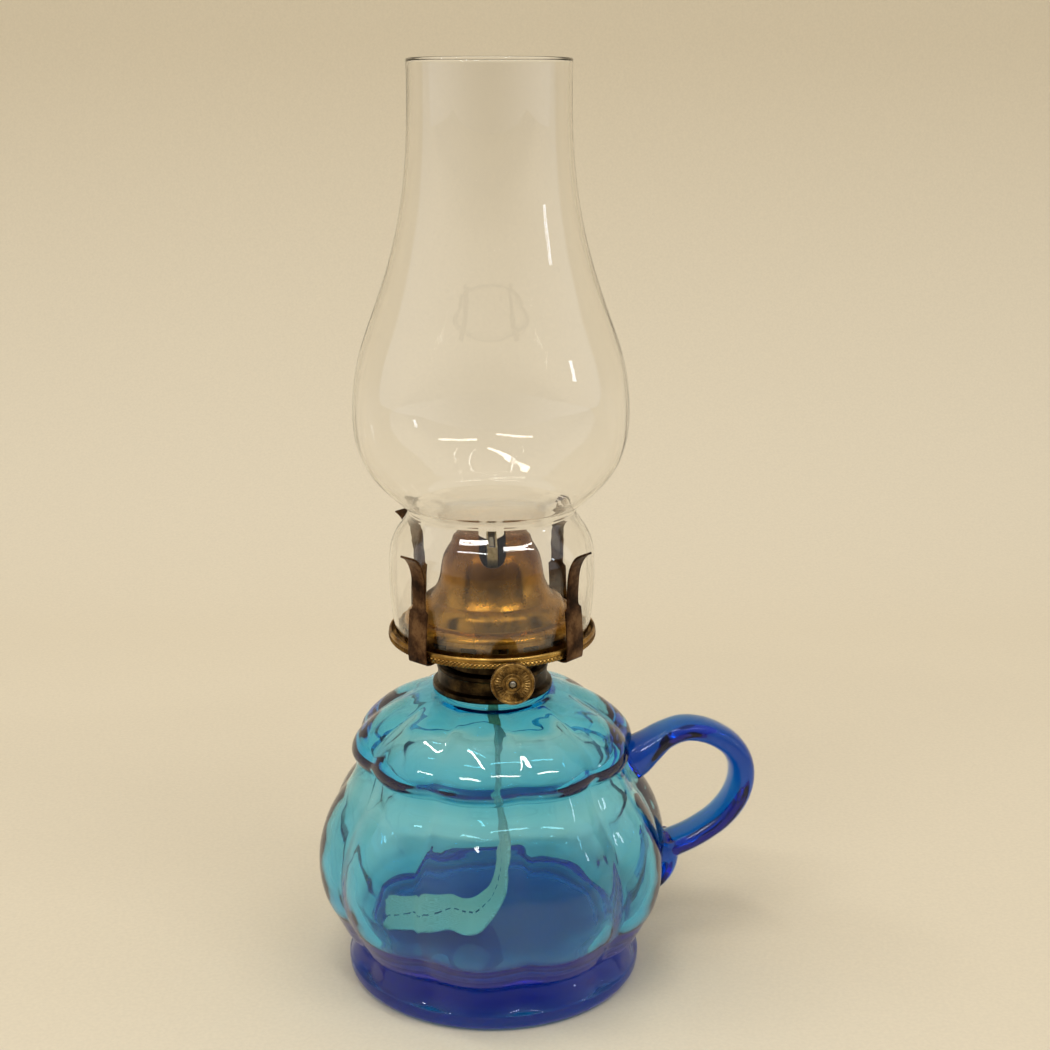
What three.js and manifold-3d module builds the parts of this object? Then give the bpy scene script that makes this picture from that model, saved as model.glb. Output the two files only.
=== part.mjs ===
// Finger lamp: a blown and pressed blue glass oil font with a strap handle, a brass collar set in
// plaster, a four-prong flat-wick burner with a bell deflector and a clear bulged glass chimney.
// Millimetres, +Z up. The origin is on the lamp's axis in the plane that the foot stands on.
// The handle points along +X; the burner is screwed home a little turned from that line.

import * as THREE from "three";
import { mergeVertices } from "three/addons/utils/BufferGeometryUtils.js";
import Module from "manifold-3d";

const wasm = await Module();
wasm.setup();

// General.
const GAP = 0.3;
const CUT_OVERRUN = 2;
const FULL_TURN = 2 * Math.PI;
const QUARTER_TURN = Math.PI / 2;
const DEGREE = Math.PI / 180;
const ROUND_STEPS = 32;
const SMALL_ROUND_STEPS = 12;

// Font.
const FOOT_RADIUS = 57.4;
const FOOT_HEIGHT = 14.6;
const BODY_RADIUS = 68.5;
const BODY_HEIGHT = 73.4;
const CAPE_RADIUS = 54.7;
const CAPE_HEIGHT = 28.4;
const NECK_RADIUS = 18.8;
const NECK_HEIGHT = 7.6;
const NECK_WALL = 2;
const GLASS_WALL = 3.6;
const FLOOR_THICKNESS = 4.6;
const LOBE_COUNT = 10;
const LOBE_DEPTH = 3.2;
const LOBE_TURN = 2 * DEGREE;
const STEPS_PER_LOBE = 4;

// [radius share, height share, lobe share] up each storey of the outline
const FOOT_OUTLINE_SHARES = [
  [0.985, 0, 0],
  [1, 0.1, 0.08],
  [1, 0.42, 0.2],
  [0.985, 0.66, 0.3],
  [0.925, 1, 0.4],
];
const BODY_OUTLINE_SHARES = [
  [0.81, 0.025, 0.45],
  [0.855, 0.06, 0.65],
  [0.918, 0.169, 0.9],
  [0.991, 0.346, 1],
  [1, 0.4414, 1],
  [0.994, 0.537, 1],
  [0.971, 0.632, 1],
  [0.9387, 0.714, 1],
  [0.889, 0.7956, 0.95],
  [0.835, 0.8638, 0.9],
  [0.797, 0.925, 0.85],
  [0.7737, 0.9728, 0.8],
];
const CAPE_OUTLINE_SHARES = [
  [0.958, 0, 0.75],
  [0.9835, 0.077, 0.75],
  [1, 0.176, 0.75],
  [0.985, 0.299, 0.75],
  [0.943, 0.4225, 0.7],
  [0.87, 0.563, 0.6],
  [0.775, 0.704, 0.45],
  [0.658, 0.827, 0.3],
  [0.53, 0.915, 0.12],
  [0.4, 0.985, 0],
];
const CAVITY_OUTLINE_SHARES = [
  [0.373, 0.988, 0],
  [0.599, 0.94, 0.15],
  [0.74, 0.8438, 0.3],
  [0.762, 0.7953, 0.35],
  [0.75, 0.7468, 0.4],
  [0.83, 0.6498, 0.45],
  [0.949, 0.5097, 0.5],
  [1, 0.3319, 0.5],
  [0.958, 0.1649, 0.6],
  [0.785, 0.0388, 0.8],
  [0.622, 0.0108, 0.4],
];

const CAPE_BASE = FOOT_HEIGHT + BODY_HEIGHT;
const SHOULDER_TOP = CAPE_BASE + CAPE_HEIGHT;
const NECK_TOP = SHOULDER_TOP + NECK_HEIGHT;
const NECK_BORE = NECK_RADIUS - NECK_WALL;
const CAVITY_FLOOR = FOOT_HEIGHT + FLOOR_THICKNESS;
const CAVITY_TOP = SHOULDER_TOP - GLASS_WALL;
const CAVITY_RADIUS = BODY_RADIUS - GLASS_WALL;

// Handle.
const HANDLE_REACH = 48.7;
const HANDLE_RISE = 56.8;
const HANDLE_SINK = 4.7;
const HANDLE_LOW_SHARE = 0.2916;
const STRAP_WIDTH = 16;
const STRAP_THICKNESS = 8.2;
const STRAP_ROUNDNESS = 0.72;
const STRAP_SECTION_STEPS = 12;

// [reach share, rise share, thickness share, width share] along the strap, then down its tail
const STRAP_ROUTE_SHARES = [
  [0, 0.775, 2.1, 1.15],
  [0.123, 0.815, 1.95, 1.15],
  [0.236, 0.88, 1.5, 1.1],
  [0.38, 0.961, 1.12, 1],
  [0.534, 1, 1, 1],
  [0.684, 0.979, 1, 1],
  [0.811, 0.9225, 1, 1],
  [0.92, 0.843, 1, 1],
  [0.9815, 0.7465, 1, 1],
  [1, 0.637, 1, 1],
  [0.977, 0.528, 1, 1],
  [0.92, 0.428, 1, 1],
  [0.834, 0.336, 1, 1],
  [0.723, 0.2606, 1, 1],
  [0.6, 0.197, 1.02, 1],
  [0.472, 0.151, 1.12, 1],
  [0.3285, 0.106, 1.35, 1.05],
  [0.164, 0.07, 1.45, 1.1],
];
const TAIL_ROUTE_SHARES = [
  [0.41, 0.2, 0.9, 1],
  [0.417, 0.1, 1.05, 0.97],
  [0.4, 0, 0.9, 0.86],
  [0.357, -0.085, 0.62, 0.66],
  [0.308, -0.15, 0.3, 0.4],
];

// Collar and cement.
const COLLAR_HEIGHT = 9.7;
const COLLAR_WALL = 0.8;
const COLLAR_FLANGE = 2;
const COLLAR_FLANGE_HEIGHT = 2.8;
const COLLAR_BEAD = 0.3;
const COLLAR_THREAD_WALL = 0.6;
const CEMENT_THICKNESS = 0.7;
const CEMENT_CROWN = 0.9;

const CEMENT_OUTER = NECK_RADIUS + GAP + CEMENT_THICKNESS;
const COLLAR_OUTER = CEMENT_OUTER + GAP + COLLAR_WALL;
const COLLAR_BOTTOM = SHOULDER_TOP + GAP;
const COLLAR_TOP = COLLAR_BOTTOM + COLLAR_HEIGHT;
const COLLAR_ROOF = NECK_TOP + GAP + CEMENT_CROWN + GAP;
const THREAD_OUTER = NECK_BORE - GAP;
const THROAT_RADIUS = THREAD_OUTER - COLLAR_THREAD_WALL;

// Burner shell.
const BURNER_TURN = -8 * DEGREE;
const SHEET = 0.7;
const THIMBLE_LENGTH = 13.5;
const THIMBLE_FLANGE = 3;
const SHELL_RISE = 9.8;
const BOWL_RADIUS = 27.5;
const BOWL_OUTLINE_SHARES = [
  [0.655, 0.28],
  [0.7, 0.42],
  [0.82, 0.64],
  [0.94, 0.82],
  [1, 1],
];
const AIR_HOLE_COUNT = 12;
const AIR_HOLE_STEPS = 6;
const AIR_HOLE_RADIUS = 1.3;
const AIR_HOLE_HEIGHT_SHARE = 0.56;
const AIR_HOLE_TURN_SHARE = 0.5;

const THIMBLE_RADIUS = THROAT_RADIUS - GAP;
const SHELL_BOTTOM = COLLAR_TOP + GAP;
const SHELL_TOP = SHELL_BOTTOM + SHELL_RISE;
const THIMBLE_BOTTOM = SHELL_BOTTOM - THIMBLE_LENGTH;
const PLATE_TOP = SHELL_BOTTOM + 2 * SHEET;

// Gallery.
const GALLERY_RADIUS = 39.5;
const GALLERY_RIM_HEIGHT = 4;
const GALLERY_OVERLAP = 0.5;
const RIM_TEETH = 36;
const RIM_TOOTH_DEPTH = 0.45;
const RIM_TOP_SHARE = 0.98;
const RIM_FLOOR_SHARE = 0.962;
const RIM_BELLY_SHARE = 0.55;

const FLOOR_BOTTOM = SHELL_TOP + GAP;
const FLOOR_TOP = FLOOR_BOTTOM + SHEET;
const FLOOR_BORE = BOWL_RADIUS - GALLERY_OVERLAP;
const RIM_TOP = FLOOR_BOTTOM + GALLERY_RIM_HEIGHT;

// Chimney.
const CHIMNEY_FIT_RADIUS = 38.7;
const CHIMNEY_FIT_HEIGHT = 48.5;
const BULGE_RADIUS = 51;
const CHIMNEY_STACK_HEIGHT = 163.5;
const CHIMNEY_WALL = 1.9;
const CHIMNEY_STEPS = 32;
const FIT_OUTLINE_SHARES = [
  [0.9406, 0],
  [0.9767, 0.1856],
  [1, 0.5155],
  [0.996, 0.68],
  [0.969, 0.763],
  [0.92, 0.845],
  [0.8605, 0.9175],
  [0.814, 1],
];
const STACK_OUTLINE_SHARES = [
  [0.635, 0.0104],
  [0.692, 0.0275],
  [0.8627, 0.0826],
  [0.939, 0.1223],
  [0.984, 0.168],
  [1, 0.217],
  [0.996, 0.266],
  [0.941, 0.364],
  [0.876, 0.425],
  [0.804, 0.486],
  [0.733, 0.5535],
  [0.6706, 0.627],
  [0.6216, 0.7064],
  [0.59, 0.792],
  [0.5765, 0.89],
  [0.5765, 1],
];

const CHIMNEY_BOTTOM = FLOOR_TOP + GAP;
const CHIMNEY_WAIST = CHIMNEY_BOTTOM + CHIMNEY_FIT_HEIGHT;

// Air ring and deflector.
const RING_CLEARANCE = 1.2;
const RING_HEIGHT = 6.3;
const RING_SLOTS = 18;
const RING_SLOT_TURN = -6 * DEGREE;
const RING_SLOT_WIDTH = 6.2;
const RING_SLOT_HEIGHT = 2;
const RING_SLOT_SHARE = 0.6;
const DOME_HEIGHT = 33.4;
const DOME_SHEET = 0.6;
const DOME_CROWN = 0.7;
const FLAME_SLOT_WIDTH = 10;
const FLAME_SLOT_DEPTH = 9.4;

const RING_RADIUS = CHIMNEY_FIT_RADIUS * FIT_OUTLINE_SHARES[0][0] - CHIMNEY_WALL - RING_CLEARANCE;
const RING_BOTTOM = FLOOR_TOP + GAP;
const DOME_BOTTOM = RING_BOTTOM + RING_HEIGHT + GAP;
const DOME_TOP = DOME_BOTTOM + DOME_HEIGHT;
const DOME_OUTLINE_SHARES = [
  [1, 0],
  [1, 0.03],
  [0.967, 0.051],
  [0.889, 0.066],
  [0.841, 0.078],
  [0.829, 0.117],
  [0.814, 0.168],
  [0.769, 0.23],
  [0.697, 0.2635],
  [0.667, 0.305],
  [0.628, 0.371],
  [0.598, 0.455],
  [0.58, 0.557],
  [0.5615, 0.6587],
  [0.5315, 0.7545],
  [0.4925, 0.8234],
  [0.4595, 0.8743],
  [0.4475, 0.928],
  [0.4444, 0.97],
  [0.4294, 0.994],
];

// Prongs and rivets.
const PRONG_COUNT = 4;
const PRONG_NAMES = ["prong_front_left", "prong_front_right", "prong_back_right", "prong_back_left"];
const PRONG_FIRST_ANGLE = -133 * DEGREE;
const PRONG_SHEET = 0.8;
const PRONG_WIDTH = 9;
const PRONG_TONGUE_WIDTH = 6.2;
const PRONG_HEIGHT = 41.3;
const PRONG_FLARE = 5.2;
const PRONG_BOW = 1.2;
const PRONG_FOOT_END = 28.8;
const PRONG_SHOULDER_SHARE = 0.475;
const PRONG_SHOULDER_STEP_SHARE = 0.035;
// [height share, bow share, flare share] from the foot's bend to the top, then out and down its lip
const PRONG_ROUTE_SHARES = [
  [0, 1, 0],
  [0.2, 1, 0],
  [0.38, 0.6, 0],
  [0.56, 0, 0],
  [0.7, 0.1, 0.02],
  [0.8, 0.5, 0.08],
  [0.9, 0.5, 0.2],
  [0.97, 0.5, 0.45],
];
const PRONG_LIP_SHARES = [
  [1, 0.5, 0.72],
  [0.97, 0.5, 1],
];
const RIVET_SHANK = 0.9;
const RIVET_HEAD = 1.7;
const RIVET_HEAD_HEIGHT = 0.7;
const RIVET_CROWN_SHARE = 0.84;

const RIVET_PLACE = RING_RADIUS - SHEET - GAP - RIVET_HEAD;
const PRONG_TOP_FACE = FLOOR_BOTTOM - GAP;
const PRONG_CENTRE = PRONG_TOP_FACE - PRONG_SHEET / 2;
const PRONG_HUG = CHIMNEY_FIT_RADIUS + GAP + PRONG_SHEET / 2;

// Wick, tube and raiser.
const WICK_WIDTH = 25.4;
const WICK_THICKNESS = 1.8;
const WICK_CLEARANCE = 0.4;
const TUBE_SHEET = 0.6;
const TUBE_LENGTH = 68.5;
const TUBE_DROP = 7;
const WICK_TOP_RECESS = 3.5;
const WICK_LENGTH = 67;
const RAISER_OFFSET = 6.5;
const RAISER_DROP = 2.4;
const SHAFT_RADIUS = 1.2;
const SHAFT_INNER_END = 11;
const SPUR_SPACING = 14;
const SPUR_WIDTH = 2.4;
const SPUR_TEETH = 12;
const SPUR_TOOTH_SHARE = 0.8;
const WINDOW_CLEARANCE = 0.4;
const WHEEL_RADIUS = 8;
const WHEEL_THICKNESS = 2.6;
const WHEEL_STAND_OFF = 5.4;
const WHEEL_TEETH = 18;
const WHEEL_TOOTH_DEPTH = 0.25;
const WHEEL_BEAD = 0.7;
const WHEEL_HUB_RADIUS = 3.3;
const WHEEL_HUB_HEIGHT = 0.7;
const WHEEL_BEAD_SHARE = 0.84;
const WHEEL_DISH_SHARE = 0.3;

const TUBE_INNER_WIDTH = WICK_WIDTH + 2 * WICK_CLEARANCE;
const TUBE_INNER_THICKNESS = WICK_THICKNESS + 2 * WICK_CLEARANCE;
const TUBE_OUTER_WIDTH = TUBE_INNER_WIDTH + 2 * TUBE_SHEET;
const TUBE_OUTER_THICKNESS = TUBE_INNER_THICKNESS + 2 * TUBE_SHEET;
const TUBE_BOTTOM = THIMBLE_BOTTOM - TUBE_DROP;
const TUBE_TOP = TUBE_BOTTOM + TUBE_LENGTH;
const WICK_TOP = TUBE_TOP - WICK_TOP_RECESS;
const WICK_BOTTOM = WICK_TOP - WICK_LENGTH;
const RAISER_HEIGHT = PRONG_CENTRE - RAISER_DROP + PRONG_SHEET / 2;
const SPUR_RADIUS = RAISER_OFFSET - WICK_THICKNESS / 2 - GAP;
const WHEEL_BACK = GALLERY_RADIUS + WHEEL_STAND_OFF;
const WHEEL_FRONT = WHEEL_BACK + WHEEL_THICKNESS;

// Wick tail.
const TAIL_CLEARANCE = 6.5;
const TAIL_BEND_RADIUS = 9;
const TAIL_LIE = 31;
const TAIL_BEND_STEPS = 6;
const TAIL_RISE = 1.2;
const TAIL_END_LIFT = 1.6;

// Materials.
const BLUE_GLASS = new THREE.MeshStandardMaterial({ color: 0x2f86b4, roughness: 0.06, metalness: 0 });
const COBALT_GLASS = new THREE.MeshStandardMaterial({ color: 0x152a86, roughness: 0.06, metalness: 0 });
const CLEAR_GLASS = new THREE.MeshStandardMaterial({ color: 0xe9e6d2, roughness: 0.03, metalness: 0 });
const AGED_BRASS = new THREE.MeshStandardMaterial({ color: 0x8a6a38, roughness: 0.42, metalness: 1 });
const DARK_BRASS = new THREE.MeshStandardMaterial({ color: 0x4d3823, roughness: 0.5, metalness: 1 });
const STEEL = new THREE.MeshStandardMaterial({ color: 0x9b978e, roughness: 0.4, metalness: 1 });
const PLASTER = new THREE.MeshStandardMaterial({ color: 0xcfc6b0, roughness: 0.9, metalness: 0 });
const COTTON = new THREE.MeshStandardMaterial({ color: 0xd9d0b8, roughness: 0.95, metalness: 0 });

// Mesh helpers.
function signedVolume(positions, triangles) {
  const [a, b, c] = [new THREE.Vector3(), new THREE.Vector3(), new THREE.Vector3()];
  let volume = 0;
  for (let i = 0; i < triangles.length; i += 3) {
    a.fromArray(positions, 3 * triangles[i]);
    b.fromArray(positions, 3 * triangles[i + 1]);
    c.fromArray(positions, 3 * triangles[i + 2]);
    volume += a.dot(b.cross(c));
  }
  return volume;
}

// A closed surface from points and faces, with its faces turned to point out.
function closedGeometry(positions, triangles) {
  if (signedVolume(positions, triangles) < 0) {
    triangles.reverse();
  }
  const geometry = new THREE.BufferGeometry();
  geometry.setAttribute("position", new THREE.Float32BufferAttribute(positions, 3));
  geometry.setIndex(triangles);
  geometry.computeVertexNormals();
  return geometry;
}

// Turns a profile of [radius, height, ...] points about Z. A profile that leaves and meets the axis
// closes there, any other joins its own start. shape(radius, angle, point) may move each radius.
function revolve(profile, steps, shape = (radius) => radius, start = 0) {
  const positions = [];
  const rings = profile.map((point) => {
    const [radius, height] = point;
    const first = positions.length / 3;
    if (radius === 0) {
      positions.push(0, 0, height);
      return { first, single: true };
    }
    for (let step = 0; step < steps; step++) {
      const angle = start + (step * FULL_TURN) / steps;
      const reach = shape(radius, angle, point, step);
      positions.push(reach * Math.cos(angle), reach * Math.sin(angle), height);
    }
    return { first, single: false };
  });
  const triangles = [];
  const pairs = rings.map((ring, i) => [ring, rings[(i + 1) % rings.length]]);
  for (const [low, high] of pairs) {
    for (let step = 0; step < steps; step++) {
      const next = (step + 1) % steps;
      if (!low.single) {
        const third = high.single ? high.first : high.first + next;
        triangles.push(low.first + step, low.first + next, third);
      }
      if (!high.single) {
        const third = low.single ? low.first : low.first + step;
        triangles.push(third, high.first + next, high.first + step);
      }
    }
  }
  return closedGeometry(positions, triangles);
}

// Joins sections, each a closed ring of the same number of points, and caps both ends.
function loft(sections) {
  const count = sections[0].length;
  const positions = sections.flat().flatMap((point) => point.toArray());
  const triangles = [];
  for (let i = 0; i + 1 < sections.length; i++) {
    for (let j = 0; j < count; j++) {
      const [a, b] = [i * count + j, i * count + ((j + 1) % count)];
      triangles.push(a, b, a + count, b, b + count, a + count);
    }
  }
  const last = (sections.length - 1) * count;
  for (let j = 1; j + 1 < count; j++) {
    triangles.push(0, j + 1, j, last, last + j, last + j + 1);
  }
  return closedGeometry(positions, triangles);
}

// The in-plane normal at each point of a route in the XZ plane, stretched where the route bends.
function routeNormals(route) {
  return route.map((point, i) => {
    const before = route[Math.max(i - 1, 0)];
    const after = route[Math.min(i + 1, route.length - 1)];
    const arriving = point.clone().sub(before).normalize();
    const leaving = after.clone().sub(point).normalize();
    const along = arriving.clone().add(leaving).normalize();
    const normal = new THREE.Vector3(-along.z, 0, along.x);
    const bend = Math.max(arriving.length(), leaving.length());
    const lean = along.dot(leaving.lengthSq() > 0 ? leaving : arriving);
    return normal.multiplyScalar(bend / lean);
  });
}

// A flat strip along a route in the XZ plane, its width along Y.
function ribbon(route, widths, thickness) {
  const normals = routeNormals(route);
  const sections = route.map((point, i) => {
    const half = normals[i].clone().multiplyScalar(thickness / 2);
    const side = new THREE.Vector3(0, widths[i] / 2, 0);
    return [
      point.clone().add(half).add(side),
      point.clone().add(half).sub(side),
      point.clone().sub(half).sub(side),
      point.clone().sub(half).add(side),
    ];
  });
  return loft(sections);
}

// A glass strap of rounded section along a route in the XZ plane.
function strap(route, thicknesses, widths) {
  const normals = routeNormals(route);
  const sections = route.map((point, i) => {
    const ring = [];
    for (let step = 0; step < STRAP_SECTION_STEPS; step++) {
      const angle = (step * FULL_TURN) / STRAP_SECTION_STEPS;
      const [c, s] = [Math.cos(angle), Math.sin(angle)];
      const inPlane = (Math.sign(s) * Math.abs(s) ** STRAP_ROUNDNESS * thicknesses[i]) / 2;
      const across = (Math.sign(c) * Math.abs(c) ** STRAP_ROUNDNESS * widths[i]) / 2;
      ring.push(point.clone().addScaledVector(normals[i], inPlane).add(new THREE.Vector3(0, across, 0)));
    }
    return ring;
  });
  return loft(sections);
}

function solid(geometry) {
  const bare = geometry.clone();
  bare.deleteAttribute("normal");
  bare.deleteAttribute("uv");
  const merged = mergeVertices(bare);
  return new wasm.Manifold(
    new wasm.Mesh({
      numProp: 3,
      vertProperties: new Float32Array(merged.attributes.position.array),
      triVerts: new Uint32Array(merged.index.array),
    }),
  );
}

function geometryOf(body) {
  const mesh = body.getMesh();
  const positions = [];
  for (let i = 0; i < mesh.vertProperties.length; i += mesh.numProp) {
    positions.push(...mesh.vertProperties.slice(i, i + 3));
  }
  return closedGeometry(positions, [...mesh.triVerts]);
}

function cutAway(geometry, cutters) {
  let body = solid(geometry);
  for (const cutter of cutters) {
    body = body.subtract(solid(cutter));
  }
  return geometryOf(body);
}

function box(width, depth, height, x, y, z) {
  return new THREE.BoxGeometry(width, depth, height).translate(x, y, z);
}

// A round bar along Y from one place to another.
function barAlongY(radius, from, to, x, z, steps) {
  const bar = new THREE.CylinderGeometry(radius, radius, Math.abs(to - from), steps);
  return bar.translate(x, (from + to) / 2, z);
}

function named(name, geometry, material) {
  const mesh = new THREE.Mesh(geometry, material);
  mesh.name = name;
  return mesh;
}

const scaled = (table, radius, base, height) =>
  table.map(([radiusShare, heightShare, ...rest]) => [
    radius * radiusShare,
    base + height * heightShare,
    ...rest,
  ]);

// Glass font and handle.
function fontOutline() {
  return [
    ...scaled(FOOT_OUTLINE_SHARES, FOOT_RADIUS, 0, FOOT_HEIGHT),
    ...scaled(BODY_OUTLINE_SHARES, BODY_RADIUS, FOOT_HEIGHT, BODY_HEIGHT),
    ...scaled(CAPE_OUTLINE_SHARES, CAPE_RADIUS, CAPE_BASE, CAPE_HEIGHT),
  ];
}

// Ten swelling lobes with sharp valleys between them.
const lobed = (radius, angle, [, , lobeShare = 0]) => {
  const crest = Math.abs(Math.cos(((angle - LOBE_TURN) * LOBE_COUNT) / 2));
  return radius - LOBE_DEPTH * lobeShare * (1 - crest);
};

function fontGeometry() {
  const cavityHeight = CAVITY_TOP - CAVITY_FLOOR;
  const profile = [
    [0, 0],
    ...fontOutline(),
    [NECK_RADIUS, SHOULDER_TOP],
    [NECK_RADIUS, NECK_TOP],
    [NECK_BORE, NECK_TOP],
    [NECK_BORE, CAVITY_TOP],
    ...scaled(CAVITY_OUTLINE_SHARES, CAVITY_RADIUS, CAVITY_FLOOR, cavityHeight),
    [0, CAVITY_FLOOR],
  ];
  return revolve(profile, LOBE_COUNT * STEPS_PER_LOBE, lobed, LOBE_TURN);
}

// The font as one filled solid, swollen by the seating gap.
function fontEnvelope() {
  const grown = fontOutline().map(([radius, height, lobeShare]) => [radius + GAP, height, lobeShare]);
  const profile = [[0, -GAP], ...grown, [NECK_RADIUS + GAP, SHOULDER_TOP], [0, NECK_TOP]];
  return revolve(profile, LOBE_COUNT * STEPS_PER_LOBE, lobed, LOBE_TURN);
}

function handleGeometry() {
  const start = CAPE_RADIUS - HANDLE_SINK;
  const low = FOOT_HEIGHT + HANDLE_LOW_SHARE * BODY_HEIGHT;
  const build = (table) => {
    const route = table.map(
      ([reach, rise]) => new THREE.Vector3(start + reach * HANDLE_REACH, 0, low + rise * HANDLE_RISE),
    );
    const thicknesses = table.map(([, , thickness]) => thickness * STRAP_THICKNESS);
    const widths = table.map(([, , , width]) => width * STRAP_WIDTH);
    return solid(strap(route, thicknesses, widths));
  };
  const whole = build(STRAP_ROUTE_SHARES).add(build(TAIL_ROUTE_SHARES));
  return geometryOf(whole.subtract(solid(fontEnvelope())));
}

// Collar.
function collarGeometry() {
  const flangeTop = COLLAR_BOTTOM + COLLAR_FLANGE_HEIGHT;
  const profile = [
    [COLLAR_OUTER + COLLAR_FLANGE, COLLAR_BOTTOM],
    [COLLAR_OUTER + COLLAR_FLANGE, flangeTop - COLLAR_WALL],
    [COLLAR_OUTER + COLLAR_FLANGE - COLLAR_WALL, flangeTop],
    [COLLAR_OUTER, flangeTop + COLLAR_BEAD],
    [COLLAR_OUTER, COLLAR_TOP - COLLAR_WALL - COLLAR_BEAD],
    [COLLAR_OUTER + COLLAR_BEAD, COLLAR_TOP - COLLAR_WALL],
    [COLLAR_OUTER + COLLAR_BEAD, COLLAR_TOP - COLLAR_BEAD],
    [COLLAR_OUTER - COLLAR_BEAD, COLLAR_TOP],
    [THROAT_RADIUS, COLLAR_TOP],
    [THROAT_RADIUS, COLLAR_BOTTOM],
    [THREAD_OUTER, COLLAR_BOTTOM],
    [THREAD_OUTER, COLLAR_ROOF],
    [COLLAR_OUTER - COLLAR_WALL, COLLAR_ROOF],
    [COLLAR_OUTER - COLLAR_WALL, COLLAR_BOTTOM],
  ];
  return revolve(profile, ROUND_STEPS);
}

function cementGeometry() {
  const profile = [
    [NECK_RADIUS + GAP, COLLAR_BOTTOM],
    [CEMENT_OUTER, COLLAR_BOTTOM],
    [CEMENT_OUTER, COLLAR_ROOF - GAP],
    [NECK_BORE, COLLAR_ROOF - GAP],
    [NECK_BORE, NECK_TOP + GAP],
    [NECK_RADIUS + GAP, NECK_TOP + GAP],
  ];
  return revolve(profile, ROUND_STEPS);
}

// Burner shell and gallery.
function shellGeometry() {
  const flangeRadius = THIMBLE_RADIUS + THIMBLE_FLANGE;
  const outer = scaled(BOWL_OUTLINE_SHARES, BOWL_RADIUS, SHELL_BOTTOM, SHELL_RISE);
  const inner = outer.map(([radius, height]) => [radius - SHEET, height]).reverse();
  inner[0] = [BOWL_RADIUS - SHEET, SHELL_TOP];
  inner[inner.length - 1] = [outer[0][0] - SHEET, PLATE_TOP];
  const profile = [
    [0, PLATE_TOP - SHEET],
    [THIMBLE_RADIUS - SHEET, PLATE_TOP - SHEET],
    [THIMBLE_RADIUS - SHEET, THIMBLE_BOTTOM],
    [THIMBLE_RADIUS, THIMBLE_BOTTOM],
    [THIMBLE_RADIUS, SHELL_BOTTOM],
    [flangeRadius, SHELL_BOTTOM],
    [flangeRadius, SHELL_BOTTOM + SHEET],
    ...outer,
    ...inner,
    [0, PLATE_TOP],
  ];
  const tubeSlot = box(
    TUBE_OUTER_THICKNESS + 2 * GAP,
    TUBE_OUTER_WIDTH + 2 * GAP,
    SHEET + CUT_OVERRUN,
    0,
    0,
    PLATE_TOP - SHEET / 2,
  );
  const shaftHole = barAlongY(
    SHAFT_RADIUS + GAP,
    -BOWL_RADIUS - CUT_OVERRUN,
    -THIMBLE_RADIUS,
    RAISER_OFFSET,
    RAISER_HEIGHT,
    SMALL_ROUND_STEPS,
  );
  const holes = [];
  const holeHeight = SHELL_BOTTOM + AIR_HOLE_HEIGHT_SHARE * SHELL_RISE;
  for (let i = 0; i < AIR_HOLE_COUNT; i++) {
    const hole = barAlongY(AIR_HOLE_RADIUS, THIMBLE_RADIUS, BOWL_RADIUS, 0, holeHeight, AIR_HOLE_STEPS);
    holes.push(hole.rotateZ(((i + AIR_HOLE_TURN_SHARE) * FULL_TURN) / AIR_HOLE_COUNT));
  }
  return cutAway(revolve(profile, ROUND_STEPS), [tubeSlot, shaftHole, ...holes]);
}

function galleryGeometry() {
  const belly = FLOOR_BOTTOM + RIM_BELLY_SHARE * GALLERY_RIM_HEIGHT;
  const rimTopRadius = GALLERY_RADIUS * RIM_TOP_SHARE;
  const rimFloorRadius = GALLERY_RADIUS * RIM_FLOOR_SHARE;
  const profile = [
    [FLOOR_BORE, FLOOR_BOTTOM],
    [GALLERY_RADIUS - SHEET, FLOOR_BOTTOM, RIM_TOOTH_DEPTH],
    [GALLERY_RADIUS, FLOOR_BOTTOM + SHEET, RIM_TOOTH_DEPTH],
    [GALLERY_RADIUS, belly],
    [rimTopRadius, RIM_TOP],
    [rimTopRadius - SHEET, RIM_TOP],
    [GALLERY_RADIUS - SHEET, belly],
    [rimFloorRadius, FLOOR_TOP],
    [FLOOR_BORE, FLOOR_TOP],
  ];
  const toothed = (radius, angle, [, , depth = 0], step) => radius - (step % 2) * depth;
  const ring = revolve(profile, 2 * RIM_TEETH, toothed);
  const rivetHoles = prongAngles().map((angle) => {
    const hole = new THREE.CylinderGeometry(
      RIVET_SHANK + GAP,
      RIVET_SHANK + GAP,
      SHEET + CUT_OVERRUN,
      SMALL_ROUND_STEPS,
    );
    hole.rotateX(QUARTER_TURN).translate(RIVET_PLACE, 0, FLOOR_BOTTOM + SHEET / 2);
    return hole.rotateZ(angle);
  });
  return cutAway(ring, rivetHoles);
}

// Air ring and deflector.
function airRingGeometry() {
  const profile = [
    [RING_RADIUS - SHEET, RING_BOTTOM],
    [RING_RADIUS, RING_BOTTOM],
    [RING_RADIUS, RING_BOTTOM + RING_HEIGHT],
    [RING_RADIUS - SHEET, RING_BOTTOM + RING_HEIGHT],
  ];
  const slots = [];
  for (let i = 0; i < RING_SLOTS; i++) {
    const slot = box(
      SHEET + CUT_OVERRUN,
      RING_SLOT_WIDTH,
      RING_SLOT_HEIGHT,
      RING_RADIUS - SHEET / 2,
      0,
      RING_BOTTOM + RING_SLOT_SHARE * RING_HEIGHT,
    );
    slots.push(slot.rotateZ(RING_SLOT_TURN + (i * FULL_TURN) / RING_SLOTS));
  }
  return cutAway(revolve(profile, ROUND_STEPS), slots);
}

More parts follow.
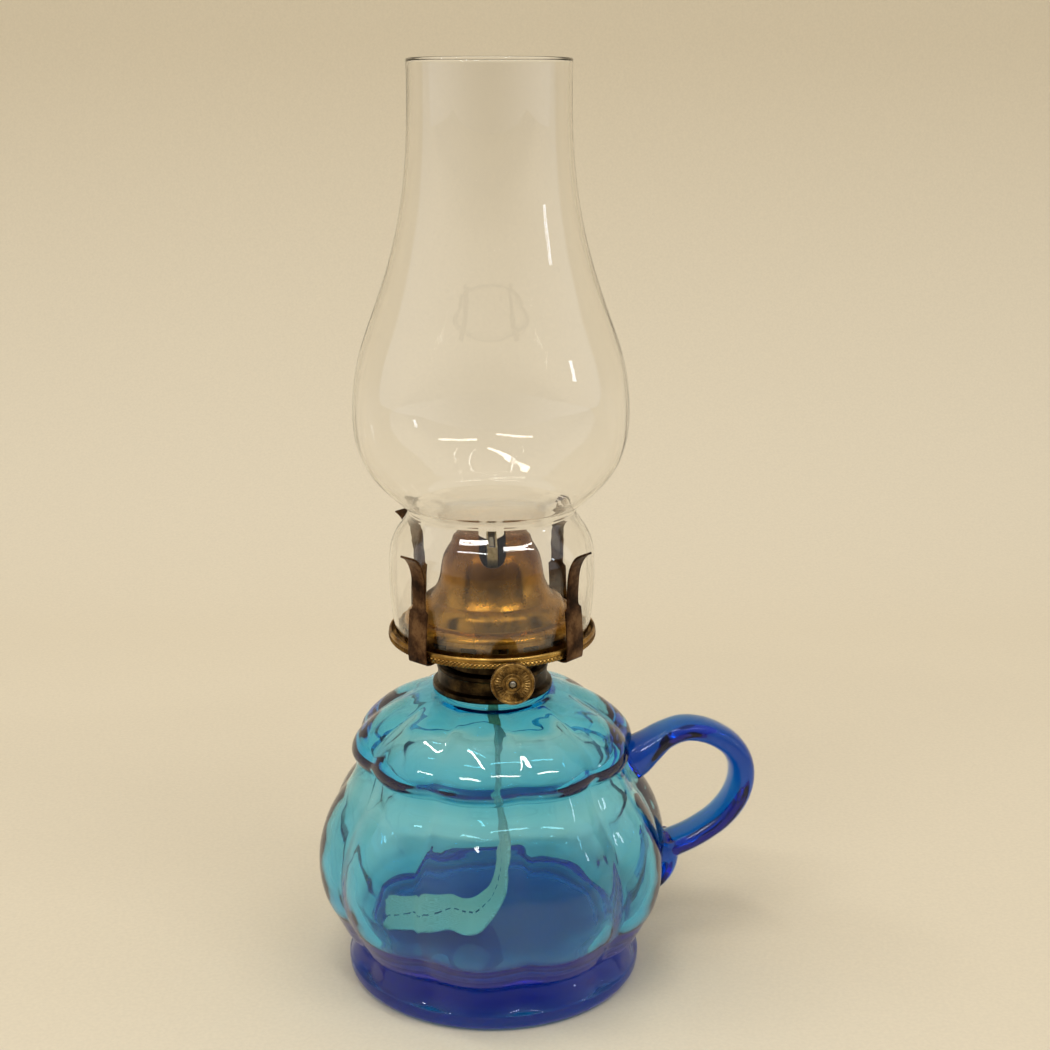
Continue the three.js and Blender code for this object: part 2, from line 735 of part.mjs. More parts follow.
// A stepped bell, its crown cut from front to back by a slot with a rounded bottom.
function deflectorGeometry() {
  const outer = scaled(DOME_OUTLINE_SHARES, RING_RADIUS, DOME_BOTTOM, DOME_HEIGHT);
  const inner = outer
    .filter((point, i) => i % 2 === 0 && i > 0)
    .map(([radius, height]) => [radius - DOME_SHEET, height - DOME_SHEET / 2]);
  const profile = [
    ...outer,
    [0, DOME_TOP + DOME_CROWN],
    [0, DOME_TOP + DOME_CROWN - DOME_SHEET],
    [outer.at(-1)[0] - DOME_SHEET / 2, DOME_TOP - DOME_SHEET],
    ...inner.reverse(),
    [RING_RADIUS - DOME_SHEET, DOME_BOTTOM],
  ];
  const bell = revolve(profile, ROUND_STEPS);
  const slotHeight = FLAME_SLOT_DEPTH - FLAME_SLOT_WIDTH / 2 + CUT_OVERRUN;
  const slotLength = 2 * RING_RADIUS;
  const roundCentre = DOME_TOP - FLAME_SLOT_DEPTH + FLAME_SLOT_WIDTH / 2;
  const straight = box(FLAME_SLOT_WIDTH, slotLength, slotHeight, 0, 0, roundCentre + slotHeight / 2);
  const round = barAlongY(
    FLAME_SLOT_WIDTH / 2,
    -slotLength / 2,
    slotLength / 2,
    0,
    roundCentre,
    SMALL_ROUND_STEPS,
  );
  return cutAway(bell, [straight, round]);
}

// Prongs and rivets.
function prongAngles() {
  return PRONG_NAMES.map((name, i) => PRONG_FIRST_ANGLE + (i * FULL_TURN) / PRONG_COUNT);
}

function prongGeometry() {
  const place = (heightShare, bowShare, flareShare) =>
    new THREE.Vector3(
      PRONG_HUG + bowShare * PRONG_BOW + flareShare * PRONG_FLARE,
      0,
      PRONG_CENTRE + heightShare * PRONG_HEIGHT,
    );
  const route = PRONG_ROUTE_SHARES.map((shares) => place(...shares));
  const between = (share) => {
    const after = PRONG_ROUTE_SHARES.findIndex(([heightShare]) => heightShare > share);
    const [low, high] = [PRONG_ROUTE_SHARES[after - 1], PRONG_ROUTE_SHARES[after]];
    const mix = (share - low[0]) / (high[0] - low[0]);
    return place(...low.map((value, i) => value + mix * (high[i] - value)));
  };
  const shoulderEnd = PRONG_SHOULDER_SHARE + PRONG_SHOULDER_STEP_SHARE;
  const rows = [
    [new THREE.Vector3(PRONG_FOOT_END, 0, PRONG_CENTRE), PRONG_WIDTH],
    ...route.map((point, i) => {
      const [heightShare] = PRONG_ROUTE_SHARES[i];
      return [point, heightShare < PRONG_SHOULDER_SHARE ? PRONG_WIDTH : PRONG_TONGUE_WIDTH];
    }),
    [between(PRONG_SHOULDER_SHARE), PRONG_WIDTH],
    [between(shoulderEnd), PRONG_TONGUE_WIDTH],
  ];
  const [foot, ...rising] = rows;
  rising.sort((a, b) => a[0].z - b[0].z);
  const lip = PRONG_LIP_SHARES.map((shares) => [place(...shares), PRONG_TONGUE_WIDTH]);
  const ordered = [foot, ...rising, ...lip];
  const strip = ribbon(
    ordered.map(([point]) => point),
    ordered.map(([, width]) => width),
    PRONG_SHEET,
  );
  const hole = new THREE.CylinderGeometry(
    RIVET_SHANK + GAP,
    RIVET_SHANK + GAP,
    PRONG_SHEET + CUT_OVERRUN,
    SMALL_ROUND_STEPS,
  );
  hole.rotateX(QUARTER_TURN).translate(RIVET_PLACE, 0, PRONG_CENTRE);
  return cutAway(strip, [hole]);
}

function rivetGeometry() {
  const lowerHead = PRONG_TOP_FACE - PRONG_SHEET - GAP;
  const upperHead = FLOOR_TOP + GAP;
  const profile = [
    [0, lowerHead - RIVET_HEAD_HEIGHT],
    [RIVET_HEAD * RIVET_CROWN_SHARE, lowerHead - RIVET_HEAD_HEIGHT],
    [RIVET_HEAD, lowerHead],
    [RIVET_SHANK, lowerHead],
    [RIVET_SHANK, upperHead],
    [RIVET_HEAD, upperHead],
    [RIVET_HEAD * RIVET_CROWN_SHARE, upperHead + RIVET_HEAD_HEIGHT],
    [0, upperHead + RIVET_HEAD_HEIGHT],
  ];
  return revolve(profile, SMALL_ROUND_STEPS).translate(RIVET_PLACE, 0, 0);
}

// Wick and its raiser.
function tubeGeometry() {
  const middle = (TUBE_BOTTOM + TUBE_TOP) / 2;
  const outside = box(TUBE_OUTER_THICKNESS, TUBE_OUTER_WIDTH, TUBE_LENGTH, 0, 0, middle);
  const bore = box(TUBE_INNER_THICKNESS, TUBE_INNER_WIDTH, TUBE_LENGTH + CUT_OVERRUN, 0, 0, middle);
  const windows = [-1, 1].map((side) =>
    box(
      TUBE_SHEET + WICK_CLEARANCE,
      SPUR_WIDTH + 2 * WINDOW_CLEARANCE,
      2 * SPUR_RADIUS * SPUR_TOOTH_SHARE,
      (TUBE_INNER_THICKNESS + TUBE_SHEET) / 2,
      (side * SPUR_SPACING) / 2,
      RAISER_HEIGHT,
    ),
  );
  return cutAway(outside, [bore, ...windows]);
}

function spurGeometry() {
  const profile = [
    [SHAFT_RADIUS + GAP, -SPUR_WIDTH / 2],
    [SPUR_RADIUS, -SPUR_WIDTH / 2, 1],
    [SPUR_RADIUS, SPUR_WIDTH / 2, 1],
    [SHAFT_RADIUS + GAP, SPUR_WIDTH / 2],
  ];
  const toothed = (radius, angle, [, , tooth = 0], step) =>
    tooth && step % 2 ? radius * SPUR_TOOTH_SHARE : radius;
  return revolve(profile, 2 * SPUR_TEETH, toothed).rotateX(QUARTER_TURN);
}

// A small coined wheel: toothed edge, raised bead, dished face and a hub bored for the shaft.
function thumbWheelGeometry() {
  const bead = WHEEL_RADIUS * WHEEL_BEAD_SHARE;
  const dish = WHEEL_THICKNESS * WHEEL_DISH_SHARE;
  const bore = SHAFT_RADIUS + GAP;
  const profile = [
    [bore, 0],
    [WHEEL_RADIUS - WHEEL_BEAD, 0],
    [WHEEL_RADIUS, WHEEL_BEAD, WHEEL_TOOTH_DEPTH],
    [WHEEL_RADIUS, WHEEL_THICKNESS - WHEEL_BEAD, WHEEL_TOOTH_DEPTH],
    [WHEEL_RADIUS - WHEEL_BEAD, WHEEL_THICKNESS],
    [bead, WHEEL_THICKNESS],
    [bead - WHEEL_BEAD, WHEEL_THICKNESS - dish],
    [WHEEL_HUB_RADIUS + WHEEL_BEAD, WHEEL_THICKNESS - dish],
    [WHEEL_HUB_RADIUS, WHEEL_THICKNESS - dish + WHEEL_HUB_HEIGHT],
    [bore, WHEEL_THICKNESS - dish + WHEEL_HUB_HEIGHT],
  ];
  const toothed = (radius, angle, [, , depth = 0], step) => radius - (step % 2) * depth;
  return revolve(profile, 2 * WHEEL_TEETH, toothed).rotateX(QUARTER_TURN);
}

function shaftGeometry() {
  return barAlongY(
    SHAFT_RADIUS,
    -WHEEL_FRONT,
    SHAFT_INNER_END,
    RAISER_OFFSET,
    RAISER_HEIGHT,
    SMALL_ROUND_STEPS,
  );
}

// The free end of the wick: straight down, round an easy bend, then along the font's floor.
function tailGeometry() {
  const seat = CAVITY_FLOOR + GAP + TAIL_RISE + WICK_THICKNESS / 2;
  const route = [new THREE.Vector3(0, 0, WICK_BOTTOM - TAIL_CLEARANCE)];
  for (let i = 0; i <= TAIL_BEND_STEPS; i++) {
    const angle = (i * QUARTER_TURN) / TAIL_BEND_STEPS;
    route.push(
      new THREE.Vector3(
        -TAIL_BEND_RADIUS * (1 - Math.cos(angle)),
        0,
        seat + TAIL_BEND_RADIUS * (1 - Math.sin(angle)),
      ),
    );
  }
  route.push(new THREE.Vector3(-TAIL_BEND_RADIUS - TAIL_LIE / 2, 0, seat));
  route.push(new THREE.Vector3(-TAIL_BEND_RADIUS - TAIL_LIE, 0, seat + TAIL_END_LIFT));
  return ribbon(
    route,
    route.map(() => WICK_WIDTH),
    WICK_THICKNESS,
  );
}

// Chimney.
function chimneyGeometry() {
  const outer = [
    ...scaled(FIT_OUTLINE_SHARES, CHIMNEY_FIT_RADIUS, CHIMNEY_BOTTOM, CHIMNEY_FIT_HEIGHT),
    ...scaled(STACK_OUTLINE_SHARES, BULGE_RADIUS, CHIMNEY_WAIST, CHIMNEY_STACK_HEIGHT),
  ];
  const inner = outer
    .filter((point, i) => i % 2 === 0)
    .map(([radius, height]) => [radius - CHIMNEY_WALL, height])
    .reverse();
  return revolve([...outer, ...inner], CHIMNEY_STEPS);
}

// Assembly.
const font = new THREE.Group();
font.add(named("font", fontGeometry(), BLUE_GLASS));
font.add(named("finger_handle", handleGeometry(), COBALT_GLASS));
font.add(named("collar", collarGeometry(), AGED_BRASS));
font.add(named("collar_cement", cementGeometry(), PLASTER));

const burner = new THREE.Group();
burner.rotation.z = BURNER_TURN;
burner.add(named("burner_shell", shellGeometry(), AGED_BRASS));
burner.add(named("gallery", galleryGeometry(), AGED_BRASS));
burner.add(named("air_ring", airRingGeometry(), AGED_BRASS));
burner.add(named("flame_deflector", deflectorGeometry(), AGED_BRASS));
burner.add(named("wick_tube", tubeGeometry(), AGED_BRASS));

const prong = prongGeometry();
const rivet = rivetGeometry();
prongAngles().forEach((angle, i) => {
  const prongMesh = named(PRONG_NAMES[i], prong, DARK_BRASS);
  const rivetMesh = named(PRONG_NAMES[i].replace("prong", "prong_rivet"), rivet, DARK_BRASS);
  prongMesh.rotation.z = angle;
  rivetMesh.rotation.z = angle;
  burner.add(prongMesh, rivetMesh);
});

const raiser = new THREE.Group();
raiser.add(named("raiser_shaft", shaftGeometry(), STEEL));
const spur = spurGeometry();
const spurFront = named("spur_wheel_front", spur, AGED_BRASS);
const spurBack = named("spur_wheel_back", spur, AGED_BRASS);
spurFront.position.set(RAISER_OFFSET, -SPUR_SPACING / 2, RAISER_HEIGHT);
spurBack.position.set(RAISER_OFFSET, SPUR_SPACING / 2, RAISER_HEIGHT);
const thumbWheel = named("thumb_wheel", thumbWheelGeometry(), AGED_BRASS);
thumbWheel.position.set(RAISER_OFFSET, -WHEEL_BACK, RAISER_HEIGHT);
raiser.add(spurFront, spurBack, thumbWheel);
burner.add(raiser);

const wickMiddle = (WICK_BOTTOM + WICK_TOP) / 2;
burner.add(named("wick", box(WICK_THICKNESS, WICK_WIDTH, WICK_LENGTH, 0, 0, wickMiddle), COTTON));
burner.add(named("wick_tail", tailGeometry(), COTTON));
burner.add(named("chimney", chimneyGeometry(), CLEAR_GLASS));

const lamp = new THREE.Group();
lamp.add(font, burner);

export default lamp;
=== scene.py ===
"""Looks of a finger lamp: glass font and handle, brass collar, flat-wick burner and clear chimney.

Sizes in tables and fields are millimetres and angles are degrees. A mesh becomes metres as it is
made. The burner's pieces are drawn facing -Y and turned with the burner as their points are set.
"""

import logging
import math
from dataclasses import dataclass
from enum import Enum
from functools import lru_cache
from typing import Any, Callable

import bpy
import numpy as np
from mathutils import Matrix


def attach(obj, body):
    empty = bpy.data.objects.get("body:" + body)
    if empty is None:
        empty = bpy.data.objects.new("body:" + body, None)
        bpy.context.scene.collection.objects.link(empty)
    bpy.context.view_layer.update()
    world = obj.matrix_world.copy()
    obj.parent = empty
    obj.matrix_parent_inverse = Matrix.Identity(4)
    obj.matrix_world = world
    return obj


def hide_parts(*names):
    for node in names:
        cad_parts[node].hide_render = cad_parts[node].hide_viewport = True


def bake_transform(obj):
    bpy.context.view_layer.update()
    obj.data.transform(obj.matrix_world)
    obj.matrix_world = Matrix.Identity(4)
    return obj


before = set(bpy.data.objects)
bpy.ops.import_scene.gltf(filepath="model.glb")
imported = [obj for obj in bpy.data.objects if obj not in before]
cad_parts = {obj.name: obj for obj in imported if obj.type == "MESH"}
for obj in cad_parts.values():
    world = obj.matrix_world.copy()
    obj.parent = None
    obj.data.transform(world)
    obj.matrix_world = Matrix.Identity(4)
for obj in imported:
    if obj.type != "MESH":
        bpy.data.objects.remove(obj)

log = logging.getLogger("finger_lamp")

Array = np.ndarray
Rows = tuple[tuple[float, ...], ...]
Inputs = dict[Any, Any]
Shape = Callable[[Array, Array, Array, Array], tuple[Array, Array]]

MM = 0.001
FULL_TURN = 2 * math.pi
BURNER_TURN = -8.0
SHAFT_X = 6.5
SHAFT_Z = 134.1
ARC_STEPS = 5
BAR_STEPS = 24
TOUCHING = 1e-6
CREASE = 35.0
SOFT_CREASE = 50.0
CRISP_CREASE = 30.0
STAMPED_CREASE = 40.0
NO_CREASE = 60.0
CLOTH_MAP = "cloth"


class Body(Enum):
    """The bodies that move apart."""

    FONT = "font"
    BURNER = "burner"
    RAISER = "raiser"
    WICK = "wick"
    CHIMNEY = "chimney"


class Slot(Enum):
    """The record's material slots, which the parts list."""

    BLUE_GLASS = "blue_glass"
    COBALT_GLASS = "cobalt_glass"
    CLEAR_GLASS = "clear_glass"
    AGED_BRASS = "aged_brass"
    DARK_BRASS = "dark_brass"
    STEEL_WIRE = "steel_wire"
    COTTON = "cotton"


class Merge(Enum):
    """How one solid is worked into another."""

    CUT = "DIFFERENCE"
    WELD = "UNION"


# Outlines, lines and skins


@dataclass
class Skin:
    """A closed surface: its points in millimetres, its faces, and a UV place per point if it has one."""

    points: Array
    faces: list[list[int]]
    places: Array | None = None


def smooth_line(points: Any, per_span: int = 6) -> Array:
    """Runs a smooth curve through control points.

    Each span is a cubic Hermite blend of its two ends; the slope at a point is the mean of the
    slopes on both sides, weighted by the other side's length.

    Args:
        points: Rows of coordinates; the first two columns are the radius and the height.
        per_span: Steps from one control point to the next.

    Returns:
        The curve's points, with the control points among them.
    """
    line = np.asarray(points, float)
    step = np.linalg.norm(np.diff(line[:, :2], axis=0), axis=1)[:, None]
    slope = np.diff(line, axis=0) / step
    inner = (slope[:-1] * step[1:] + slope[1:] * step[:-1]) / (step[:-1] + step[1:])
    lean = np.vstack([slope[:1], inner, slope[-1:]])
    t = np.arange(per_span)[None, :, None] / per_span
    start, end = line[:-1, None], line[1:, None]
    leave, arrive = lean[:-1, None] * step[:, None], lean[1:, None] * step[:, None]
    curve = (2 * t**3 - 3 * t**2 + 1) * start + (t**3 - 2 * t**2 + t) * leave
    curve = curve + (3 * t**2 - 2 * t**3) * end + (t**3 - t**2) * arrive
    return np.vstack([curve.reshape(-1, line.shape[1]), line[-1:]])


def joined(*runs: Array) -> Array:
    """Puts lines end to end and drops a point that repeats the one before it.

    Args:
        *runs: The lines, in order.

    Returns:
        One line.
    """
    line = np.vstack(runs)
    apart = np.linalg.norm(np.diff(line[:, :2], axis=0), axis=1) > TOUCHING
    return line[np.concatenate([[True], apart])]


def filled(rows: Rows) -> Array:
    """Fills a table's short rows with zeros, up to a radius, a height and a share."""
    return np.array([tuple(row) + (0,) * (3 - len(row)) for row in rows], float)


def line_normals(line: Array) -> Array:
    """Finds the unit normals to the right of a line's course, from the chord between neighbours.

    Args:
        line: Rows whose first two columns are the radius and the height.

    Returns:
        One normal per row.
    """
    along = np.gradient(line[:, :2], axis=0)
    along /= np.linalg.norm(along, axis=1)[:, None]
    return np.stack([along[:, 1], -along[:, 0]], 1)


def walled(line: Array, wall: float) -> Array:
    """Gives a line a thickness on its left, or on its right if that is negative, and rounds both ends.

    The inner side is the line moved by the wall along its normals, and each end is a half circle
    as wide as the wall.

    Args:
        line: The outer side, as rows of radius and height.
        wall: The thickness.

    Returns:
        The outline as a closed loop.
    """
    normal = line_normals(line)
    inner = line[:, :2] - normal * wall
    turn = np.linspace(0, math.pi, ARC_STEPS + 2)[1:-1, None]

    def end(index: int, side: int) -> Array:
        """Draws the half circle past one end.

        Args:
            index: The end's row.
            side: 1 past the last row, -1 before the first.

        Returns:
            The points from the outer side to the inner.
        """
        centre = line[index, :2] - normal[index] * wall / 2
        ahead = side * np.array([-normal[index, 1], normal[index, 0]])
        return centre + wall / 2 * np.cos(turn) * normal[index] + abs(wall) / 2 * np.sin(turn) * ahead

    return np.vstack([line[:, :2], end(-1, 1), inner[::-1], end(0, -1)[::-1]])


def columns_round(steps: int, shift: float = 0.0) -> Array:
    """The angles of evenly spaced columns round a closed section, as one row."""
    return (np.arange(steps)[None, :] + shift) * FULL_TURN / steps


def rounded(wave: Array, half: Array | float, corner: float) -> Array:
    """A circle's sine or cosine, pulled out to a half size: flat sides with round corners."""
    return corner * wave + np.sign(wave) * (half - corner)


def squared(wave: Array, power: float, size: Array | float) -> Array:
    """A circle's sine or cosine raised to a power below one, which squares the section off."""
    return np.sign(wave) * np.abs(wave) ** power * size / 2


def carried(course: Array, across: Array, out: Array) -> Array:
    """Carries a section along a course in the XZ plane.

    A point is the course's own, moved out along the course's normal there and across along Y.

    Args:
        course: Rows of X and Z.
        across: The section's places along Y, per row and column.
        out: Its places along the normal, per row and column.

    Returns:
        The points as rows, columns and coordinates.
    """
    normal = line_normals(course)
    x = course[:, :1] + normal[:, :1] * out
    z = course[:, 1:2] + normal[:, 1:2] * out
    return np.stack([x, across, z], -1)


def cells(rows: int, columns: int, wrap_rows: bool) -> Array:
    """Numbers the four corners of each cell of a grid that is closed across its columns.

    Args:
        rows: The grid's rows.
        columns: Its columns.
        wrap_rows: Whether the last row joins the first.

    Returns:
        One row of four corners per cell.
    """
    last = rows if wrap_rows else rows - 1
    row, column = np.meshgrid(np.arange(last), np.arange(columns), indexing="ij")
    above, beside = (row + 1) % rows, (column + 1) % columns
    corners = [row * columns + column, row * columns + beside]
    corners += [above * columns + beside, above * columns + column]
    return np.stack(corners, -1).reshape(-1, 4)


def outward(points: Array, faces: list[list[int]]) -> list[list[int]]:
    """Turns the faces round if the volume inside them, summed over the cells, is negative.

    Args:
        points: The surface's points.
        faces: Its faces, all one way round.

    Returns:
        The faces, pointing outwards.
    """
    quads = np.array([face for face in faces if len(face) == 4])
    centre = points.mean(0)
    a, b, c, d = (points[quads[:, k]] - centre for k in range(4))
    volume = np.einsum("ij,ij->", a, np.cross(b, c)) + np.einsum("ij,ij->", a, np.cross(c, d))
    return faces if volume > 0 else [face[::-1] for face in faces]


def closed_grid(grid: Array, wrap_rows: bool = False) -> Skin:
    """Skins a grid of rings, with a fan to the mean of the first and last rings if they are ends.

    Args:
        grid: Points as rings, columns and coordinates.
        wrap_rows: Whether the last ring joins the first.

    Returns:
        The closed surface.
    """
    rows, columns = grid.shape[:2]
    points = grid.reshape(-1, 3)
    faces = cells(rows, columns, wrap_rows).tolist()
    if not wrap_rows:
        number, first = len(points), (rows - 1) * columns
        points = np.vstack([points, grid[0].mean(0), grid[-1].mean(0)])
        column = np.arange(columns)
        beside = (column + 1) % columns
        faces += np.stack([np.full(columns, number), beside, column], 1).tolist()
        faces += np.stack([np.full(columns, number + 1), first + column, first + beside], 1).tolist()
    return Skin(points, outward(points, faces))


def revolve(outline: Any, steps: int, shape: Shape | None = None) -> Skin:
    """Turns an outline about Z.

    Each point is (radius cos angle, radius sin angle, height), after shape has had a say in the
    radius and the height at that angle. An outline whose ends both lie on the axis closes there,
    and any other closes on its own start.

    Args:
        outline: Rows of radius, height and any further columns that shape reads.
        steps: Columns round the axis.
        shape: Takes radius, height, angle and the further columns, and gives radius and height.

    Returns:
        The closed surface.
    """
    line = np.asarray(outline, float)
    ends = line[[0, -1], 1]
    on_axis = bool(line[0, 0] < TOUCHING and line[-1, 0] < TOUCHING)
    line = line[1:-1] if on_axis else line
    angle = columns_round(steps)
    radius, height = line[:, :1] + 0 * angle, line[:, 1:2] + 0 * angle
    if shape is not None:
        radius, height = shape(radius, height, angle, line[:, 2:])
    grid = np.stack([radius * np.cos(angle), radius * np.sin(angle), height], -1)
    skin = closed_grid(grid, not on_axis)
    if on_axis:
        skin.points[-2:] = 0
        skin.points[-2:, 2] = ends
    return skin


def turned(points: Array, degrees: float) -> Array:
    """Turns points about Z."""
    c, s = math.cos(math.radians(degrees)), math.sin(math.radians(degrees))
    return points @ np.array([[c, s, 0], [-s, c, 0], [0, 0, 1]])


def facing_front(skin: Skin) -> Skin:
    """Lays a skin over so that what points along +Z points along -Y."""
    return Skin(skin.points @ np.array([[1.0, 0, 0], [0, 0, 1], [0, -1, 0]]), skin.faces)


def rounded_bar(across: float, deep: float, tall: float, corner: float) -> Skin:
    """A bar along Y with a rounded section.

    Args:
        across: Size along X.
        deep: Size along Y.
        tall: Size along Z.
        corner: Radius of the section's corners.

    Returns:
        The bar, centred on the origin.
    """
    angle = columns_round(BAR_STEPS, 0.5)
    x, z = rounded(np.cos(angle), across / 2, corner), rounded(np.sin(angle), tall / 2, corner)
    y = np.array([-deep / 2, deep / 2])[:, None] + 0 * angle
    return closed_grid(np.stack([x + 0 * y, y, z + 0 * y], -1))


def copies(skin: Skin, degrees: Any) -> Skin:
    """Copies a skin round Z.

    Args:
        skin: What is copied.
        degrees: One angle per copy.

    Returns:
        One skin of separate shells.
    """
    shells = [turned(skin.points, float(angle)) for angle in degrees]
    count = len(skin.points)
    faces = [[k + i * count for k in face] for i in range(len(shells)) for face in skin.faces]
    return Skin(np.vstack(shells), faces)


def moved(skin: Skin, x: float = 0, y: float = 0, z: float = 0) -> Skin:
    """Shifts a skin."""
    return Skin(skin.points + np.array([x, y, z]), skin.faces, skin.places)


def in_burner(skin: Skin) -> Skin:
    """Turns a skin with the burner, which is screwed home a little turned."""
    return Skin(turned(skin.points, BURNER_TURN), skin.faces, skin.places)


# Materials


def linear(colour: str) -> tuple[float, float, float, float]:
    """Turns a six-digit sRGB hex colour into linear light.

    Args:
        colour: The colour, such as #FFFFFF.

    Returns:
        Linear red, green and blue, and an alpha of 1.
    """
    share = np.array([int(colour[k : k + 2], 16) for k in (1, 3, 5)]) / 255
    low, high = share / 12.92, ((share + 0.055) / 1.055) ** 2.4
    red, green, blue = np.where(share <= 0.04045, low, high).tolist()
    return red, green, blue, 1.0


def add_node(
    tree: bpy.types.NodeTree, kind: str, inputs: Inputs | None = None, **settings: Any
) -> bpy.types.Node:
    """Adds a node.

    Args:
        tree: The node tree.
        kind: The node's type, without ShaderNode.
        inputs: A value, an output to link, or a node whose first output is linked, for each input
            by name or number.
        **settings: The node's own properties; stops gives a colour ramp its places and colours.

    Returns:
        The node.
    """
    node = tree.nodes.new("ShaderNode" + kind)
    stops = settings.pop("stops", None)
    for key, value in settings.items():
        setattr(node, key, value)
    if stops:
        marks = node.color_ramp.elements
        while len(marks) < len(stops):
            marks.new(1.0)
        for mark, (place, colour) in zip(marks, stops):
            mark.position, mark.color = place, linear(colour)
    for key, value in (inputs or {}).items():
        if isinstance(value, bpy.types.Node):
            value = value.outputs[0]
        if isinstance(value, bpy.types.NodeSocket):
            tree.links.new(value, node.inputs[key])
        else:
            node.inputs[key].default_value = value
    return node


@dataclass(frozen=True)
class Finish:
    """What a surface is made of and how it was made."""

    name: str

    def shade(self, tree: bpy.types.NodeTree) -> Inputs:
        """Adds the finish's pattern to a tree, and gives the shader's inputs, with any Volume."""
        raise NotImplementedError

    @lru_cache
    def material(self) -> bpy.types.Material:
        """Makes the material, once.

        Returns:
            The material, with its pattern, its shader and its output.
        """
        material = bpy.data.materials.new(self.name)
        material.use_nodes = True
        tree = material.node_tree
        tree.nodes.clear()
        looks = self.shade(tree)
        depth = {"Volume": looks.pop("Volume")} if "Volume" in looks else {}
        shader = add_node(tree, "BsdfPrincipled", looks)
        add_node(tree, "OutputMaterial", {"Surface": shader, **depth})
        return material


@dataclass(frozen=True)
class Glass(Finish):
    """Soda-lime glass, blown in a mould: clear through, so it shades by how much of it light crosses.

    The tint is what a metre of it lets through, thinned by density; ripples are the slow waves that
    the mould leaves, and stretch draws them out upwards as blowing does. The glow stands in for light
    that goes round in thick glass more often than a render follows it, which comes out deep blue.
    Below its ground height the glass is ground flat, so it is matt there.
    """

    tint: str
    density: float
    ripple: float
    ripple_depth: float
    stretch: float = 1.0
    gleam: float = 0.24
    ior: float = 1.5
    glow: str = "#000000"
    glow_strength: float = 0.012
    ground: float = 0.0
    ground_share: float = 0.88
    ground_roughness: float = 0.5

    def shade(self, tree: bpy.types.NodeTree) -> Inputs:
        """Bends the surface by its ripples, and roughens what is ground.

        Args:
            tree: The material's tree.

        Returns:
            The shader's inputs, and the depth of colour under Volume.
        """
        place = add_node(tree, "TexCoord").outputs["Object"]
        roughness: Any = 0.0
        if self.ground:
            height = add_node(tree, "SeparateXYZ", {0: place}).outputs[2]
            low, high = self.ground_share * self.ground * MM, self.ground * MM
            rise = {"Value": height, "From Min": low, "From Max": high}
            roughness = add_node(tree, "MapRange", {**rise, "To Min": self.ground_roughness, "To Max": 0.0})
        drawn = add_node(tree, "Mapping", {"Vector": place, "Scale": (1, 1, 1 / self.stretch)})
        waves = add_node(tree, "TexNoise", {"Vector": drawn, "Scale": 1 / (self.ripple * MM), "Detail": 1.5})
        swell = {"Strength": 1.0, "Distance": self.ripple_depth * MM, "Height": waves}
        return {
            "Base Color": (1, 1, 1, 1),
            "Transmission Weight": 1.0,
            "IOR": self.ior,
            "Roughness": roughness,
            "Specular IOR Level": self.gleam,
            "Emission Color": linear(self.glow),
            "Emission Strength": self.glow_strength,
            "Normal": add_node(tree, "Bump", swell),
            "Volume": add_node(tree, "VolumeAbsorption", {"Color": linear(self.tint), "Density": self.density}),
        }


